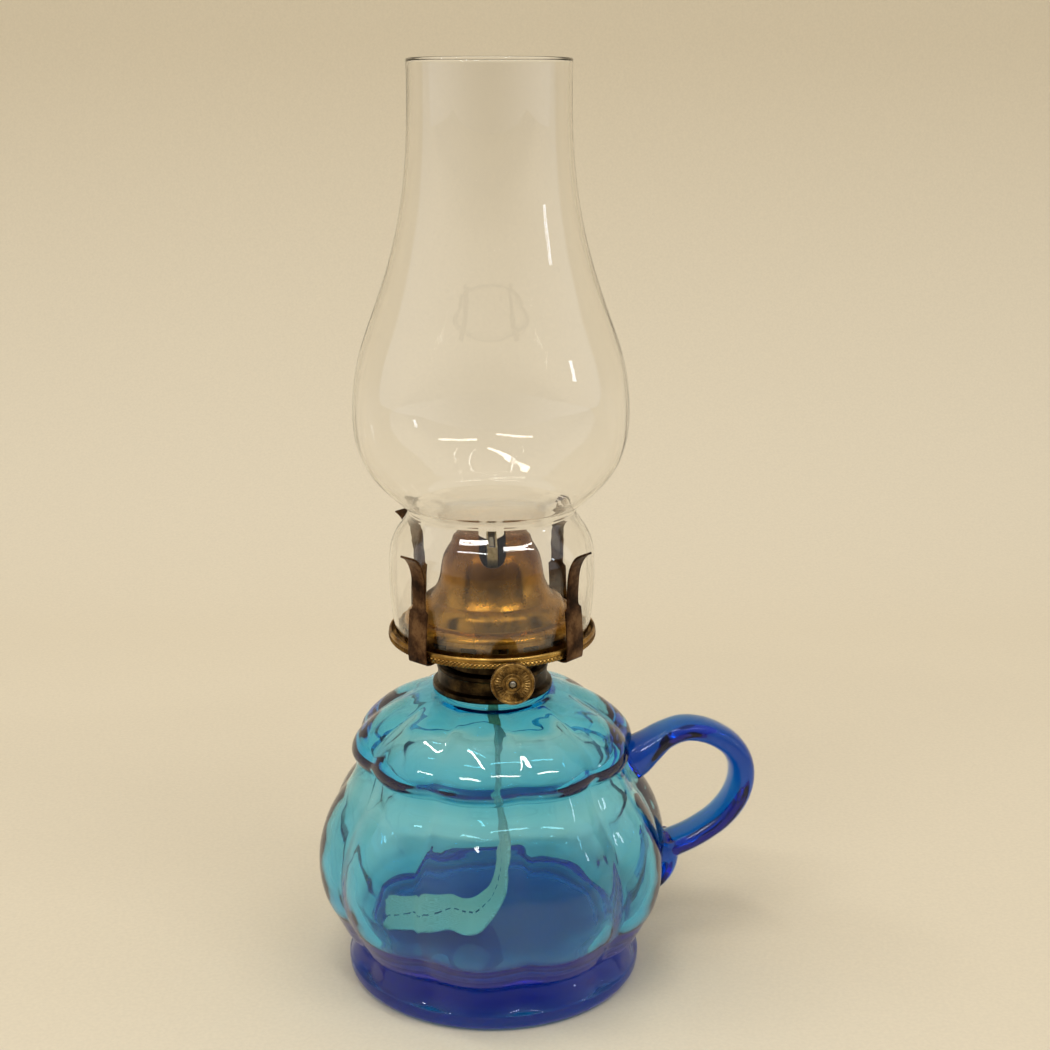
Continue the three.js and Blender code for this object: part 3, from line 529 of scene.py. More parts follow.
@dataclass(frozen=True)
class SheetMetal(Finish):
    """Brass or steel sheet or wire, spun or stamped and left to age.

    Browned in patches and darker in small specks, and rubbed bright between them, with the fine rings
    that spinning leaves. An ambient-occlusion mask darkens its hollows towards the stain colour: painted
    shade, and the tarnish that gathers there. From one height up to another it turns a darker brown:
    heat tint, and a painted reflection of the dark room that its top faces.
    """

    rubbed: str
    browned: str
    stain_and_shade: str
    gloss: float
    dull: float
    patch: float = 7.0
    speck: float = 0.9
    speck_share: float = 0.5
    ring: float = 0.45
    ring_depth: float = 0.05
    shade_and_tarnish_reach: float = 2.5
    shade_and_tarnish_share: float = 0.75
    heat_and_reflection: tuple[float, float] = (400.0, 401.0)
    heat_and_reflection_brown: str = "#784A16"
    heat_and_reflection_share: float = 0.8

    def shade(self, tree: bpy.types.NodeTree) -> Inputs:
        """Lays patches, specks, the painted shade of the hollows and the darkening towards the top over each other,
        and cuts the rings.

        Args:
            tree: The material's tree.

        Returns:
            The shader's inputs.
        """
        place = add_node(tree, "TexCoord").outputs["Object"]
        cloudy = {"Vector": place, "Scale": 1 / (self.patch * MM), "Detail": 5.0, "Roughness": 0.65}
        patches = add_node(tree, "TexNoise", cloudy)
        stops = [(0.36, self.stain_and_shade), (0.48, self.browned), (0.64, self.rubbed)]
        tone = add_node(tree, "ValToRGB", {"Fac": patches}, stops=stops)
        grainy = {"Vector": place, "Scale": 1 / (self.speck * MM), "Detail": 3.0, "Roughness": 0.7}
        specks = add_node(tree, "TexNoise", grainy)
        fleck = {"Value": specks, "From Min": 0.5, "From Max": 0.68, "To Max": self.speck_share}
        # Painted shade: where the ambient occlusion is low, the colour is darkened towards the stain colour, which
        # also stands for the tarnish in the hollows.
        open_air = add_node(tree, "AmbientOcclusion", {"Distance": self.shade_and_tarnish_reach * MM}, samples=6, only_local=True)
        shade_and_tarnish = {"Value": open_air.outputs["AO"], "From Min": 0.95, "From Max": 0.45, "To Max": self.shade_and_tarnish_share}
        split = add_node(tree, "SeparateXYZ", {0: place})
        # Painted reflection with heat tint: between two heights the colour turns towards a darker brown upwards.
        darkening_start, darkening_end = (height * MM for height in self.heat_and_reflection)
        rise = {"Value": split.outputs[2], "From Min": darkening_start, "From Max": darkening_end, "To Max": self.heat_and_reflection_share}
        colour = tone.outputs[0]
        # Layers in order: specks of real stain, the hollows' painted shade with tarnish, and the darker brown
        # towards the top, which is heat tint with a painted reflection.
        for spread, tint in ((fleck, self.stain_and_shade), (shade_and_tarnish, self.stain_and_shade), (rise, self.heat_and_reflection_brown)):
            share = add_node(tree, "MapRange", spread)
            layer = add_node(tree, "Mix", {0: share, 6: colour, 7: linear(tint)}, data_type="RGBA")
            colour = layer.outputs[2]
        sheen = {"Value": patches, "From Min": 0.35, "From Max": 0.65, "To Min": self.dull, "To Max": self.gloss}
        flat = add_node(tree, "VectorMath", {0: place, 1: (1, 1, 0)}, operation="MULTIPLY")
        reach = add_node(tree, "VectorMath", {0: flat}, operation="LENGTH")
        course = add_node(tree, "CombineXYZ", {0: reach.outputs["Value"], 2: split.outputs[2]})
        rings = add_node(tree, "TexNoise", {"Vector": course, "Scale": 1 / (self.ring * MM), "Detail": 2.0})
        rough = add_node(tree, "Math", {0: specks, 1: rings}, operation="ADD")
        return {
            "Metallic": 1.0,
            "Base Color": colour,
            "Roughness": add_node(tree, "MapRange", sheen),
            "Normal": add_node(tree, "Bump", {"Strength": 0.5, "Distance": self.ring_depth * MM, "Height": rough}),
        }


@dataclass(frozen=True)
class Plaster(Finish):
    """Plaster of Paris, cast in place: chalky and a little yellowed."""

    name: str = "cast_plaster"
    light: str = "#D8CDB4"
    dark: str = "#A8987A"
    grain: float = 1.2
    grain_depth: float = 0.1
    roughness: float = 0.92

    def shade(self, tree: bpy.types.NodeTree) -> Inputs:
        """Mottles the plaster and gives it grain.

        Args:
            tree: The material's tree.

        Returns:
            The shader's inputs.
        """
        place = add_node(tree, "TexCoord").outputs["Object"]
        grain = add_node(tree, "TexNoise", {"Vector": place, "Scale": 1 / (self.grain * MM), "Detail": 5.0})
        return {
            "Roughness": self.roughness,
            "Base Color": add_node(tree, "ValToRGB", {"Fac": grain}, stops=[(0.35, self.dark), (0.6, self.light)]),
            "Normal": add_node(tree, "Bump", {"Strength": 0.6, "Distance": self.grain_depth * MM, "Height": grain}),
        }


@dataclass(frozen=True)
class WovenCotton(Finish):
    """Flat-woven cotton wick: soft off-white yarns about a millimetre apart and a dark marking thread.

    The pattern follows the piece's own UV map, whose unit is a millimetre across and along.
    """

    name: str = "woven_cotton"
    light: str = "#FCF4DC"
    dark: str = "#D8CBA4"
    marker: str = "#2A3450"
    yarn: float = 1.1
    yarn_depth: float = 0.2
    stitch: float = 3.4
    thread: float = 0.45
    roughness: float = 0.95

    def shade(self, tree: bpy.types.NodeTree) -> Inputs:
        """Weaves sines across and along, and dashes the marking thread down the middle.

        Args:
            tree: The material's tree.

        Returns:
            The shader's inputs.
        """
        place = add_node(tree, "UVMap", uv_map=CLOTH_MAP)
        split = add_node(tree, "SeparateXYZ", {0: place})
        across, along = split.outputs[0], split.outputs[1]

        def wave(source: bpy.types.NodeSocket, pitch: float) -> bpy.types.Node:
            """A sine of a place, one turn per pitch."""
            turn = add_node(tree, "Math", {0: source, 1: FULL_TURN / pitch}, operation="MULTIPLY")
            return add_node(tree, "Math", {0: turn}, operation="SINE")

        weave = {0: wave(across, self.yarn), 1: wave(along, self.yarn)}
        weave = add_node(tree, "Math", weave, operation="MULTIPLY")
        fuzz = add_node(tree, "TexNoise", {"Vector": place, "Scale": 1.6, "Detail": 4.0})
        shade = add_node(tree, "Math", {0: weave, 1: 0.16, 2: fuzz}, operation="MULTIPLY_ADD")
        tone = add_node(tree, "ValToRGB", {"Fac": shade}, stops=[(0.3, self.dark), (0.62, self.light)])
        centre = add_node(tree, "Math", {0: across, 1: 0.0, 2: self.thread}, operation="COMPARE")
        dash = add_node(tree, "Math", {0: wave(along, self.stitch), 1: -0.2}, operation="GREATER_THAN")
        thread = add_node(tree, "Math", {0: centre, 1: dash}, operation="MULTIPLY")
        marked = add_node(tree, "Mix", {0: thread, 6: tone, 7: linear(self.marker)}, data_type="RGBA")
        return {
            "Roughness": self.roughness,
            "Sheen Weight": 0.25,
            "Sheen Roughness": 0.5,
            "Base Color": marked.outputs[2],
            "Normal": add_node(tree, "Bump", {"Strength": 0.7, "Distance": self.yarn_depth * MM, "Height": shade}),
        }


@dataclass(frozen=True)
class StudioCloth(Finish):
    """The cream cloth under and behind the lamp, with painted shade that darkens it towards its top and far in
    front.
    """

    name: str = "cream_cloth"
    # low is the cloth's own cream; high is the darker tone of painted shade at the top of the backdrop.
    low: str = "#E6DBC4"
    high: str = "#D2C4A8"
    weave: float = 1.6
    fade: float = 0.75
    front: tuple[float, float] = (-0.3, -0.7)
    painted_front_shade: float = 0.45
    roughness: float = 0.95

    def shade(self, tree: bpy.types.NodeTree) -> Inputs:
        """Tones the cloth with painted shade by its height and its distance in front, with a faint weave.

        Args:
            tree: The material's tree.

        Returns:
            The shader's inputs.
        """
        place = add_node(tree, "TexCoord").outputs["Object"]
        split = add_node(tree, "SeparateXYZ", {0: place})
        # Painted shade: the colour darkens from low to high as the cloth rises up the backdrop.
        rise = add_node(tree, "MapRange", {"Value": split.outputs[2], "From Max": self.fade})
        tone = add_node(tree, "ValToRGB", {"Fac": rise}, stops=[(0.0, self.low), (1.0, self.high)])
        weave = add_node(tree, "TexNoise", {"Vector": place, "Scale": 1 / (self.weave * MM), "Detail": 2.0})
        yarns = {"Value": weave, "From Min": 0.3, "From Max": 0.7, "To Min": 0.97, "To Max": 1.02}
        # Painted shade: far in front of the lamp the cloth is darkened, which dims its reflection in the glass.
        near, far = self.front
        ahead = {"Value": split.outputs[1], "From Min": near, "From Max": far, "To Min": 1.0}
        ahead["To Max"] = self.painted_front_shade
        shades = {0: add_node(tree, "MapRange", yarns), 1: add_node(tree, "MapRange", ahead)}
        shade = add_node(tree, "Math", shades, operation="MULTIPLY")
        toned = add_node(tree, "VectorMath", {0: tone, 1: shade}, operation="MULTIPLY")
        return {"Roughness": self.roughness, "Specular IOR Level": 0.1, "Base Color": toned}


# Copper-blue glass, mould-blown: turquoise through a wall and deep blue where light runs along it.
BLUE_GLASS = Glass(
    "blown_blue_glass", tint="#36E9FE", density=265.0, ripple=13.0, ripple_depth=0.16, glow="#003C90", ground=1.3
)
# Cobalt-blue glass, drawn out hot: so much darker that the strap stays blue where it is thin.
STRAP_GLASS = Glass(
    "drawn_cobalt_glass", tint="#59D7F7", density=500.0, ripple=15.0, ripple_depth=0.2, gleam=0.15, glow="#001A80"
)
# Lime glass, blown thin: nearly clear, straw at its edges, with long upright waves.
CLEAR_GLASS = Glass(
    "blown_clear_glass", tint="#FFF3CE", density=20.0, ripple=9.0, ripple_depth=0.07, stretch=6.0, gleam=0.15
)
# Sheet brass, spun: honey where it is rubbed and brown where it isn't.
SPUN_BRASS = SheetMetal("spun_aged_brass", "#C29A50", "#A17A3C", "#6A4C26", 0.26, 0.42, patch=12.0, speck_share=0.4)
# The same by the flame: glossier and golden below, and a darker brown towards its top, which is heat tint with a
# painted reflection of the dark room above.
BELL_BRASS = SheetMetal(
    "heat_and_reflection_browned_brass", "#BE8A2E", "#9A6C24", "#70501C", 0.22, 0.32,
    patch=14.0, speck=0.5, speck_share=0.35, heat_and_reflection=(152.0, 171.0),
)
# Sheet brass, folded: pale, because the wick's oil keeps it clean.
TUBE_BRASS = SheetMetal("clean_folded_brass", "#CDBD92", "#AE9C70", "#84724E", 0.3, 0.5)
# Sheet brass, pressed and aged: painted nearly black for the shade under the gallery and the dark that it reflects,
# with a low shine.
AGED_SHADED_BRASS = SheetMetal("aged_and_shaded_brass", "#4E3E24", "#2C2114", "#150F08", 0.3, 0.5)
# Hard-rolled brass strip: an even chocolate brown.
SPRING_BRASS = SheetMetal("browned_spring_brass", "#7A5C40", "#4E3624", "#2A1C14", 0.36, 0.58, patch=9.0)
# Coined brass: bright on what fingers touch and dark between.
COINED_BRASS = SheetMetal("coined_aged_brass", "#CDA662", "#8A6A3A", "#3C2C18", 0.3, 0.48, patch=4.0)
# Drawn steel wire: dull grey.
STEEL = SheetMetal("drawn_steel", "#BDB6A8", "#8E877A", "#4A443C", 0.3, 0.5)


# Pieces


def set_creases(mesh: bpy.types.Mesh, crease: float) -> None:
    """Shades a mesh smooth, apart from edges sharper than an angle."""
    mesh.polygons.foreach_set("use_smooth", np.ones(len(mesh.polygons), bool))
    mesh.set_sharp_from_angle(angle=math.radians(crease))


def make_piece(name: str, skin: Skin, finish: Finish | None = None, crease: float = CREASE) -> bpy.types.Object:
    """Makes a Blender object of a skin.

    Args:
        name: The piece's name.
        skin: Its surface in millimetres.
        finish: Its finish, or None for a tool that is used up.
        crease: Edges sharper than this many degrees stay crisp.

    Returns:
        The object, at the origin.
    """
    mesh = bpy.data.meshes.new(name)
    mesh.from_pydata((skin.points * MM).tolist(), [], skin.faces)
    if skin.places is not None:
        layer = mesh.uv_layers.new(name=CLOTH_MAP)
        corner = np.zeros(len(mesh.loops), int)
        mesh.loops.foreach_get("vertex_index", corner)
        layer.data.foreach_set("uv", skin.places[corner].astype(np.float32).ravel())
    set_creases(mesh, crease)
    if finish is not None:
        mesh.materials.append(finish.material())
    piece = bpy.data.objects.new(name, mesh)
    bpy.context.scene.collection.objects.link(piece)
    return piece


def work_in(piece: bpy.types.Object, tool: bpy.types.Object, how: Merge, crease: float) -> None:
    """Cuts a tool out of a piece, or welds it on, and removes the tool.

    Args:
        piece: What is worked on.
        tool: The tool, which is used up.
        how: Whether it is cut out or welded on.
        crease: Edges sharper than this many degrees stay crisp.
    """
    modifier = piece.modifiers.new("work", "BOOLEAN")
    modifier.operation, modifier.object, modifier.solver = how.value, tool, "EXACT"
    worked = piece.evaluated_get(bpy.context.evaluated_depsgraph_get())
    mesh, plain = bpy.data.meshes.new_from_object(worked), piece.data
    piece.modifiers.clear()
    piece.data = mesh
    bpy.data.meshes.remove(plain)
    bpy.data.meshes.remove(tool.data)
    mesh.name = piece.name
    set_creases(mesh, crease)


@dataclass
class Part:
    """What every part of the lamp shares: its body, its slot, its finish and its creases."""

    body: Body
    slot: Slot
    finish: Finish
    crease: float = CREASE

    def settle(self, name: str, node: str, skin: Skin, *work: tuple[Merge, Skin]) -> None:
        """Makes a piece, works its tools in, and lets it ride on its body and stand for its node.

        Args:
            name: The piece's name.
            node: The CAD node that it stands for.
            skin: Its surface.
            *work: What is cut out of it or welded on, in order.
        """
        piece = make_piece(name, skin, self.finish, self.crease)
        for how, tool in work:
            work_in(piece, make_piece("tool", tool), how, self.crease)
        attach(piece, self.body.value)
        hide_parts(node)
        log.info("%s: %d faces, rides on %s", piece.name, len(piece.data.polygons), self.body.value)


def dress(node: str, finish: Finish) -> None:
    """Gives a CAD node that stays in view its finish.

    Args:
        node: The node's name.
        finish: The finish.
    """
    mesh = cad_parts[node].data
    mesh.materials.clear()
    mesh.materials.append(finish.material())
    log.info("%s: keeps its CAD shape", node)


# The lamp


@dataclass
class GlassFont(Part):
    """The blue font, blown in a mould of ten lobes.

    Outlines are rows of radius, height and the share of the lobes' depth at that height.
    """

    body: Body = Body.FONT
    slot: Slot = Slot.BLUE_GLASS
    finish: Finish = BLUE_GLASS
    crease: float = SOFT_CREASE
    lobes: int = 10
    lobe_depth: float = 3.2
    lobe_turn: float = 2.0
    steps_per_lobe: int = 24
    outer_valley: float = 0.07
    inner_valley: float = 0.45
    dip_heights: tuple[float, ...] = (96.0, 100.0, 104.0, 108.0, 111.5, 113.2, 114.4)
    dip_shares: tuple[float, ...] = (0.0, 0.15, 0.35, 0.5, 0.42, 0.12, 0.0)
    dip_inside: float = 0.5
    dip_reach: float = 22.0
    cape_wall: float = 3.3
    per_span: int = 5
    foot: Rows = (
        (56.3, 1.3, 0), (57.1, 2.6, 0), (57.4, 4.2, 0), (57.4, 5.6, 0), (57.3, 6.4, 0.03), (57, 7.2, 0.35),
        (56.7, 8.2, 0.62), (55.8, 10.2, 0.7), (54.7, 12.4, 0.6), (53.1, 14.6, 0.5),
    )
    belly: Rows = (
        (53.1, 14.6, 0.5), (55.5, 16.4, 0.5), (58.6, 19, 0.65), (60.6, 22.5, 0.8), (62.9, 27, 0.9),
        (66, 33, 0.97), (67.9, 40, 1), (68.5, 47, 1), (68.1, 54, 1), (66.5, 61, 1), (64.3, 67, 1),
        (60.9, 73, 0.95), (57.2, 78, 0.9), (54.6, 82.5, 0.86), (52.9, 86, 0.8), (51.9, 88.2, 0.75),
    )
    cape: Rows = (
        (51.9, 88.2, 0.75), (53.6, 90.2, 0.75), (54.7, 93, 0.75), (53.9, 96.5, 0.75), (51.6, 100, 0.7),
        (47.6, 104, 0.6), (42.4, 108, 0.45), (36, 111.5, 0.3), (29, 114, 0.12), (21.9, 116, 0),
        (18.8, 116.4, 0),
    )
    neck: Rows = (
        (18.8, 116.4, 0), (18.8, 123.4, 0), (18.4, 124, 0), (17.2, 124, 0), (16.8, 123.6, 0), (16.8, 113.4, 0),
    )
    cavity: Rows = (
        (16.8, 113.4, 0), (18.4, 112.5, 0), (24.2, 111.6, 0.05), (31.5, 109.9, 0.2), (38.9, 107, 0.38),
        (44.3, 103, 0.5), (48, 98.4, 0.6), (49.5, 94.6, 0.65), (48.8, 91.4, 0.65), (47.4, 88.8, 0.65),
        (48.7, 86, 0.7), (51.2, 83, 0.72), (54, 79.6, 0.76), (58, 73.8, 0.8), (61.6, 66.9, 0.85),
        (64, 58.8, 0.85), (64.9, 50.3, 0.85), (64.4, 42.2, 0.85), (62.2, 34.6, 0.85), (58.4, 27.6, 0.9),
        (52.8, 22.3, 1), (46.5, 19.4, 1), (40.4, 17.9, 0.8), (20, 17.1, 0.1), (0, 16.9, 0),
    )
    underside: Rows = ((0, 1.1, 0), (30, 1.0, 0), (45, 0.8, 0), (48.6, 0.5, 0), (50.2, 0.05, 0))
    ground_rim: Rows = ((50.2, 0.05, 0), (53, 0.05, 0), (56.3, 1.3, 0))
    rim_steps: int = 4
    below: Rows = ((0, -1.0, 0), (57, -1.0, 0))
    above: Rows = ((0, 120.0, 0),)

    def lobed(self, radius: Array, height: Array, angle: Array, further: Array) -> tuple[Array, Array]:
        """Lobes the font: the radius falls from each crest with the cosine of half the lobes' turns.

        The cosine's size is rounded off near zero by the valley's share, less outside than inside.
        Where the cape lies flat, the valleys dip in height too.

        Args:
            radius: Radius of each row and column.
            height: Its height.
            angle: The columns' angles.
            further: The shares of depth, valley and dip of each row.

        Returns:
            The new radius and height.
        """
        share, valley, dip = further[:, :1], further[:, 1:2], further[:, 2:3]
        wave = np.cos((angle - math.radians(self.lobe_turn)) * self.lobes / 2)
        soft = np.sqrt(wave**2 + valley**2) - valley
        crest = soft / (np.sqrt(1 + valley**2) - valley)
        fall = self.lobe_depth * (1 - crest)
        return radius - fall * share, height - fall * dip

    def font_skin(self) -> Skin:
        """Draws the font from the underside's middle, up, over the neck and down the cavity.

        Returns:
            The font's surface.
        """
        runs = (self.underside, self.foot, self.belly, self.cape, self.cavity)
        flat, foot, belly, cape, inside = (smooth_line(run, self.per_span) for run in runs)
        rim = smooth_line(self.ground_rim, self.rim_steps)
        outside = joined(flat, rim, foot, belly, cape, np.array(self.neck))
        dips = np.interp(outside[:, 1], self.dip_heights, self.dip_shares) * (outside[:, 0] > self.dip_reach)
        inner_dips = np.interp(inside[:, 1] + self.cape_wall, self.dip_heights, self.dip_shares) * self.dip_inside
        outside = np.column_stack([outside, np.full(len(outside), self.outer_valley), dips])
        inside = np.column_stack([inside, np.full(len(inside), self.inner_valley), inner_dips])
        return revolve(joined(outside, inside), self.lobes * self.steps_per_lobe, self.lobed)

    def envelope(self, clearance: float) -> Skin:
        """Fills the font's outside, for what is fitted against it.

        Args:
            clearance: How far the outside is swollen.

        Returns:
            The solid's surface.
        """
        runs = [np.array(run, float) + np.array([clearance, 0, 0]) for run in (self.foot, self.belly, self.cape)]
        runs = [smooth_line(run, self.per_span) for run in runs]
        outline = joined(np.array(self.below), *runs, np.array(self.above))
        outline = np.column_stack([outline, np.full(len(outline), self.outer_valley), np.zeros(len(outline))])
        return revolve(outline, self.lobes * self.steps_per_lobe, self.lobed)

    def build(self) -> None:
        """Makes the font."""
        self.settle("glass_font", "font", self.font_skin())


@dataclass
class StrapHandle(Part):
    """The finger handle: a strap of deeper blue glass laid on the font's lobes, with a drawn-out tail.

    Its courses are rows of distance from the axis, height, thickness and width.
    """

    body: Body = Body.FONT
    slot: Slot = Slot.COBALT_GLASS
    finish: Finish = STRAP_GLASS
    crease: float = SOFT_CREASE
    clearance: float = 0.1
    strap: Rows = (
        (50, 80, 17.2, 18.4), (56, 82.3, 16, 18.4), (61.5, 86, 12.6, 17.6), (68.5, 90.8, 9.6, 16),
        (76, 93.1, 8.9, 16), (83.8, 92, 9, 16), (90.5, 88.9, 9.2, 16), (96.2, 84.2, 9.5, 16),
        (99.5, 78.5, 9.7, 16), (100.5, 72, 9.7, 16), (99.3, 65.5, 9.6, 16), (96.2, 59.6, 9.4, 16),
        (91.6, 54.4, 9.2, 16), (85.7, 50.2, 9.1, 16), (79.3, 46.8, 9.2, 16), (73, 44.4, 9.6, 16),
        (66, 42, 11.1, 16.8), (58.5, 40.2, 11.9, 17.6),
    )
    tail: Rows = (
        (70, 47.4, 7.4, 16), (70.4, 41.4, 8.8, 15.5), (69.8, 35.2, 7.6, 13.8), (67.8, 29.8, 5.4, 10.6),
        (65, 25.2, 3, 6.4),
    )
    per_span: int = 7
    section_steps: int = 48
    roundness: float = 0.86

    def strap_skin(self, table: Rows) -> Skin:
        """Carries a rounded section along a smooth course.

        The section's places are the cosine and sine of an angle raised to the roundness, times half
        the width and half the thickness there.

        Args:
            table: The course.

        Returns:
            The strap's surface.
        """
        course = smooth_line(table, self.per_span)
        angle = columns_round(self.section_steps)
        out = squared(np.sin(angle), self.roundness, course[:, 2:3])
        across = squared(np.cos(angle), self.roundness, course[:, 3:4])
        return closed_grid(carried(course, across, out))

    def build(self) -> None:
        """Makes the strap, welds its tail on and clears the font."""
        work = (Merge.WELD, self.strap_skin(self.tail)), (Merge.CUT, GlassFont().envelope(self.clearance))
        self.settle("glass_handle", "finger_handle", self.strap_skin(self.strap), *work)


@dataclass(frozen=True)
class Thread:
    """A rolled thread: one groove in a plain bore or barrel, which climbs a pitch in each turn."""

    radius: float
    low: float
    high: float
    depth: float
    pitch: float = 2.2
    rows_per_turn: int = 9
    reach: float = 0.01

    def rows(self) -> Array:
        """The barrel's outline from high to low, fine enough to hold the groove."""
        count = int((self.high - self.low) / self.pitch * self.rows_per_turn)
        return np.column_stack([np.full(count, self.radius), np.linspace(self.low, self.high, count)])[::-1]

    def cut(self, radius: Array, height: Array, angle: Array, _: Array) -> tuple[Array, Array]:
        """Moves the barrel's rows to and fro with a cosine that climbs, less at both ends.

        Args:
            radius: Radius of each row and column.
            height: Its height.
            angle: The columns' angles.

        Returns:
            The new radius, which is the old one away from the barrel, and the height.
        """
        groove = 0.5 - 0.5 * np.cos(FULL_TURN * height / self.pitch - angle)
        fade = np.clip(np.minimum(height - self.low, self.high - height), 0, 1)
        return radius + self.depth * groove * fade * (np.abs(radius - self.radius) < self.reach), height


@dataclass
class Collar(Part):
    """The brass collar that is set in plaster on the font's neck."""

    body: Body = Body.FONT
    slot: Slot = Slot.AGED_BRASS
    # The collar takes the brass that is painted nearly black: painted shade and dark reflection.
    finish: Finish = AGED_SHADED_BRASS
    crease: float = CRISP_CREASE
    steps: int = 128
    thread: Thread = Thread(15.9, 117.0, 125.4, 0.4)
    flange: Rows = (
        (22.4, 116.7), (22.8, 116.85), (22.9, 117.3), (22.9, 118.2), (22.7, 118.8), (22.1, 119.1),
        (21.6, 119.3), (21.1, 119.7), (20.9, 120.3), (20.9, 124.3), (21.0, 124.7), (21.25, 125.0),
        (21.25, 125.7), (21.0, 126.2), (20.6, 126.4), (16.6, 126.4), (16.1, 126.2), (15.9, 125.8),
    )
    inside: Rows = ((15.9, 116.7), (16.5, 116.7), (16.5, 125.5), (20.1, 125.5), (20.1, 116.7))

    def build(self) -> None:
        """Makes the collar, with its bore threaded."""
        outline = np.vstack([self.flange, self.thread.rows(), self.inside])
        self.settle("collar_ring", "collar", revolve(outline, self.steps, self.thread.cut))


@dataclass
class BurnerShell(Part):
    """The brass thimble, flange and flared bowl under the gallery, with a ring of air holes."""

    body: Body = Body.BURNER
    slot: Slot = Slot.AGED_BRASS
    # The bowl takes the brass that is painted nearly black: painted shade under the gallery.
    finish: Finish = AGED_SHADED_BRASS
    crease: float = CRISP_CREASE
    steps: int = 128
    sheet: float = 0.7
    thread: Thread = Thread(15.6, 113.7, 125.9, -0.4)
    outer: Rows = (
        (15.6, 113.2), (15.6, 126.6), (18.3, 126.7), (18.6, 127.1), (18.3, 128.4), (18.0, 129.4), (19.3, 130.8),
        (22.6, 133.0), (25.9, 134.7), (27.5, 136.5),
    )
    bowl_row: int = 5
    plate: float = 128.1
    holes: int = 12
    hole_radius: float = 1.3
    hole_height: float = 132.2
    hole_steps: int = 20
    shaft_hole: float = 1.5
    cutter: tuple[float, float] = (16.5, 34.0)

    def rod(self, radius: float) -> Skin:
        """A round cutter along -Y, from inside the bowl to past it."""
        near, far = self.cutter
        return facing_front(revolve([(0, near), (radius, near), (radius, far), (0, far)], self.hole_steps))

    def build(self) -> None:
        """Makes the shell as one sheet with a floor, threaded outside, and cuts its holes."""
        wall = np.array(self.outer)
        inward = np.array([self.sheet, 0])
        bowl, bore = wall[self.bowl_row :] - inward, wall[0] - inward
        under = self.plate - self.sheet
        floor = [(0, self.plate), (bowl[0, 0], self.plate)]
        ceiling = [bore, (bore[0], under), (0, under)]
        outline = np.vstack([floor, bowl, wall[:0:-1], self.thread.rows(), wall[:1], ceiling])
        angles = (np.arange(self.holes) + 0.5) * 360 / self.holes
        ring = copies(moved(self.rod(self.hole_radius), z=self.hole_height), angles)
        passage = moved(self.rod(self.shaft_hole), SHAFT_X, 0, SHAFT_Z)
        skin = in_burner(revolve(outline, self.steps, self.thread.cut))
        cuts = ((Merge.CUT, in_burner(ring)), (Merge.CUT, in_burner(passage)))
        self.settle("burner_bowl", "burner_shell", skin, *cuts)


@dataclass
class Gallery(Part):
    """The round ledge that carries the chimney: a floor and an upturned rim, knurled along its foot."""

    body: Body = Body.BURNER
    slot: Slot = Slot.AGED_BRASS
    finish: Finish = SPUN_BRASS
    crease: float = STAMPED_CREASE
    outline: Rows = (
        (27.0, 136.8), (37.8, 136.8), (38.7, 136.85, 0.5), (39.2, 137.1, 1), (39.45, 137.6, 1),
        (39.5, 138.2, 1), (39.45, 138.7, 1), (39.3, 139.05, 0.6), (39.2, 139.25), (39.25, 139.6),
        (39.15, 140.1), (38.95, 140.5), (38.65, 140.75), (38.3, 140.7), (38.1, 140.4), (38.3, 139.8),
        (38.45, 139.2), (38.4, 138.5), (38.0, 137.8), (37.4, 137.5), (27.0, 137.5),
    )
    floor: float = 137.5
    teeth: int = 150
    steps_per_tooth: int = 4
    tooth_depth: float = 0.65
    slant: float = 1.1

    def knurled(self, radius: Array, height: Array, angle: Array, share: Array) -> tuple[Array, Array]:
        """Presses slanting nicks: the radius falls with a cosine of the angle that slips with the height.

        Args:
            radius: Radius of each row and column.
            height: Its height.
            angle: The columns' angles.
            share: The share of the nicks' depth of each row.

        Returns:
            The new radius and the height.
        """
        wave = np.cos(self.teeth * angle + self.slant * FULL_TURN * (height - self.floor))
        return radius - self.tooth_depth * share * (0.5 - 0.5 * wave), height

    def build(self) -> None:
        """Makes the gallery."""
        skin = revolve(filled(self.outline), self.teeth * self.steps_per_tooth, self.knurled)
        self.settle("gallery_ledge", "gallery", in_burner(skin))


@dataclass
class AirRing(Part):
    """The slotted band that lets air in under the deflector's lip."""

    body: Body = Body.BURNER
    slot: Slot = Slot.AGED_BRASS
    finish: Finish = SPUN_BRASS
    crease: float = CRISP_CREASE
    steps: int = 144
    line: Rows = ((33.3, 137.8), (33.3, 144.1))
    per_span: int = 4
    sheet: float = 0.7
    slots: int = 18
    slot_turn: float = 84.0
    slot_width: float = 6.2
    slot_height: float = 2.0
    slot_corner: float = 0.5
    slot_centre: float = 141.58
    slot_reach: float = 33.0
    cutter: float = 4.0

    def build(self) -> None:
        """Makes the band and cuts its slots."""
        band = revolve(walled(smooth_line(self.line, self.per_span), self.sheet), self.steps)
        bar = rounded_bar(self.slot_width, self.cutter, self.slot_height, self.slot_corner)
        angles = np.arange(self.slots) * 360 / self.slots + self.slot_turn
        slots = copies(moved(bar, 0, -self.slot_reach, self.slot_centre), angles)
        self.settle("air_band", "air_ring", in_burner(band), (Merge.CUT, in_burner(slots)))


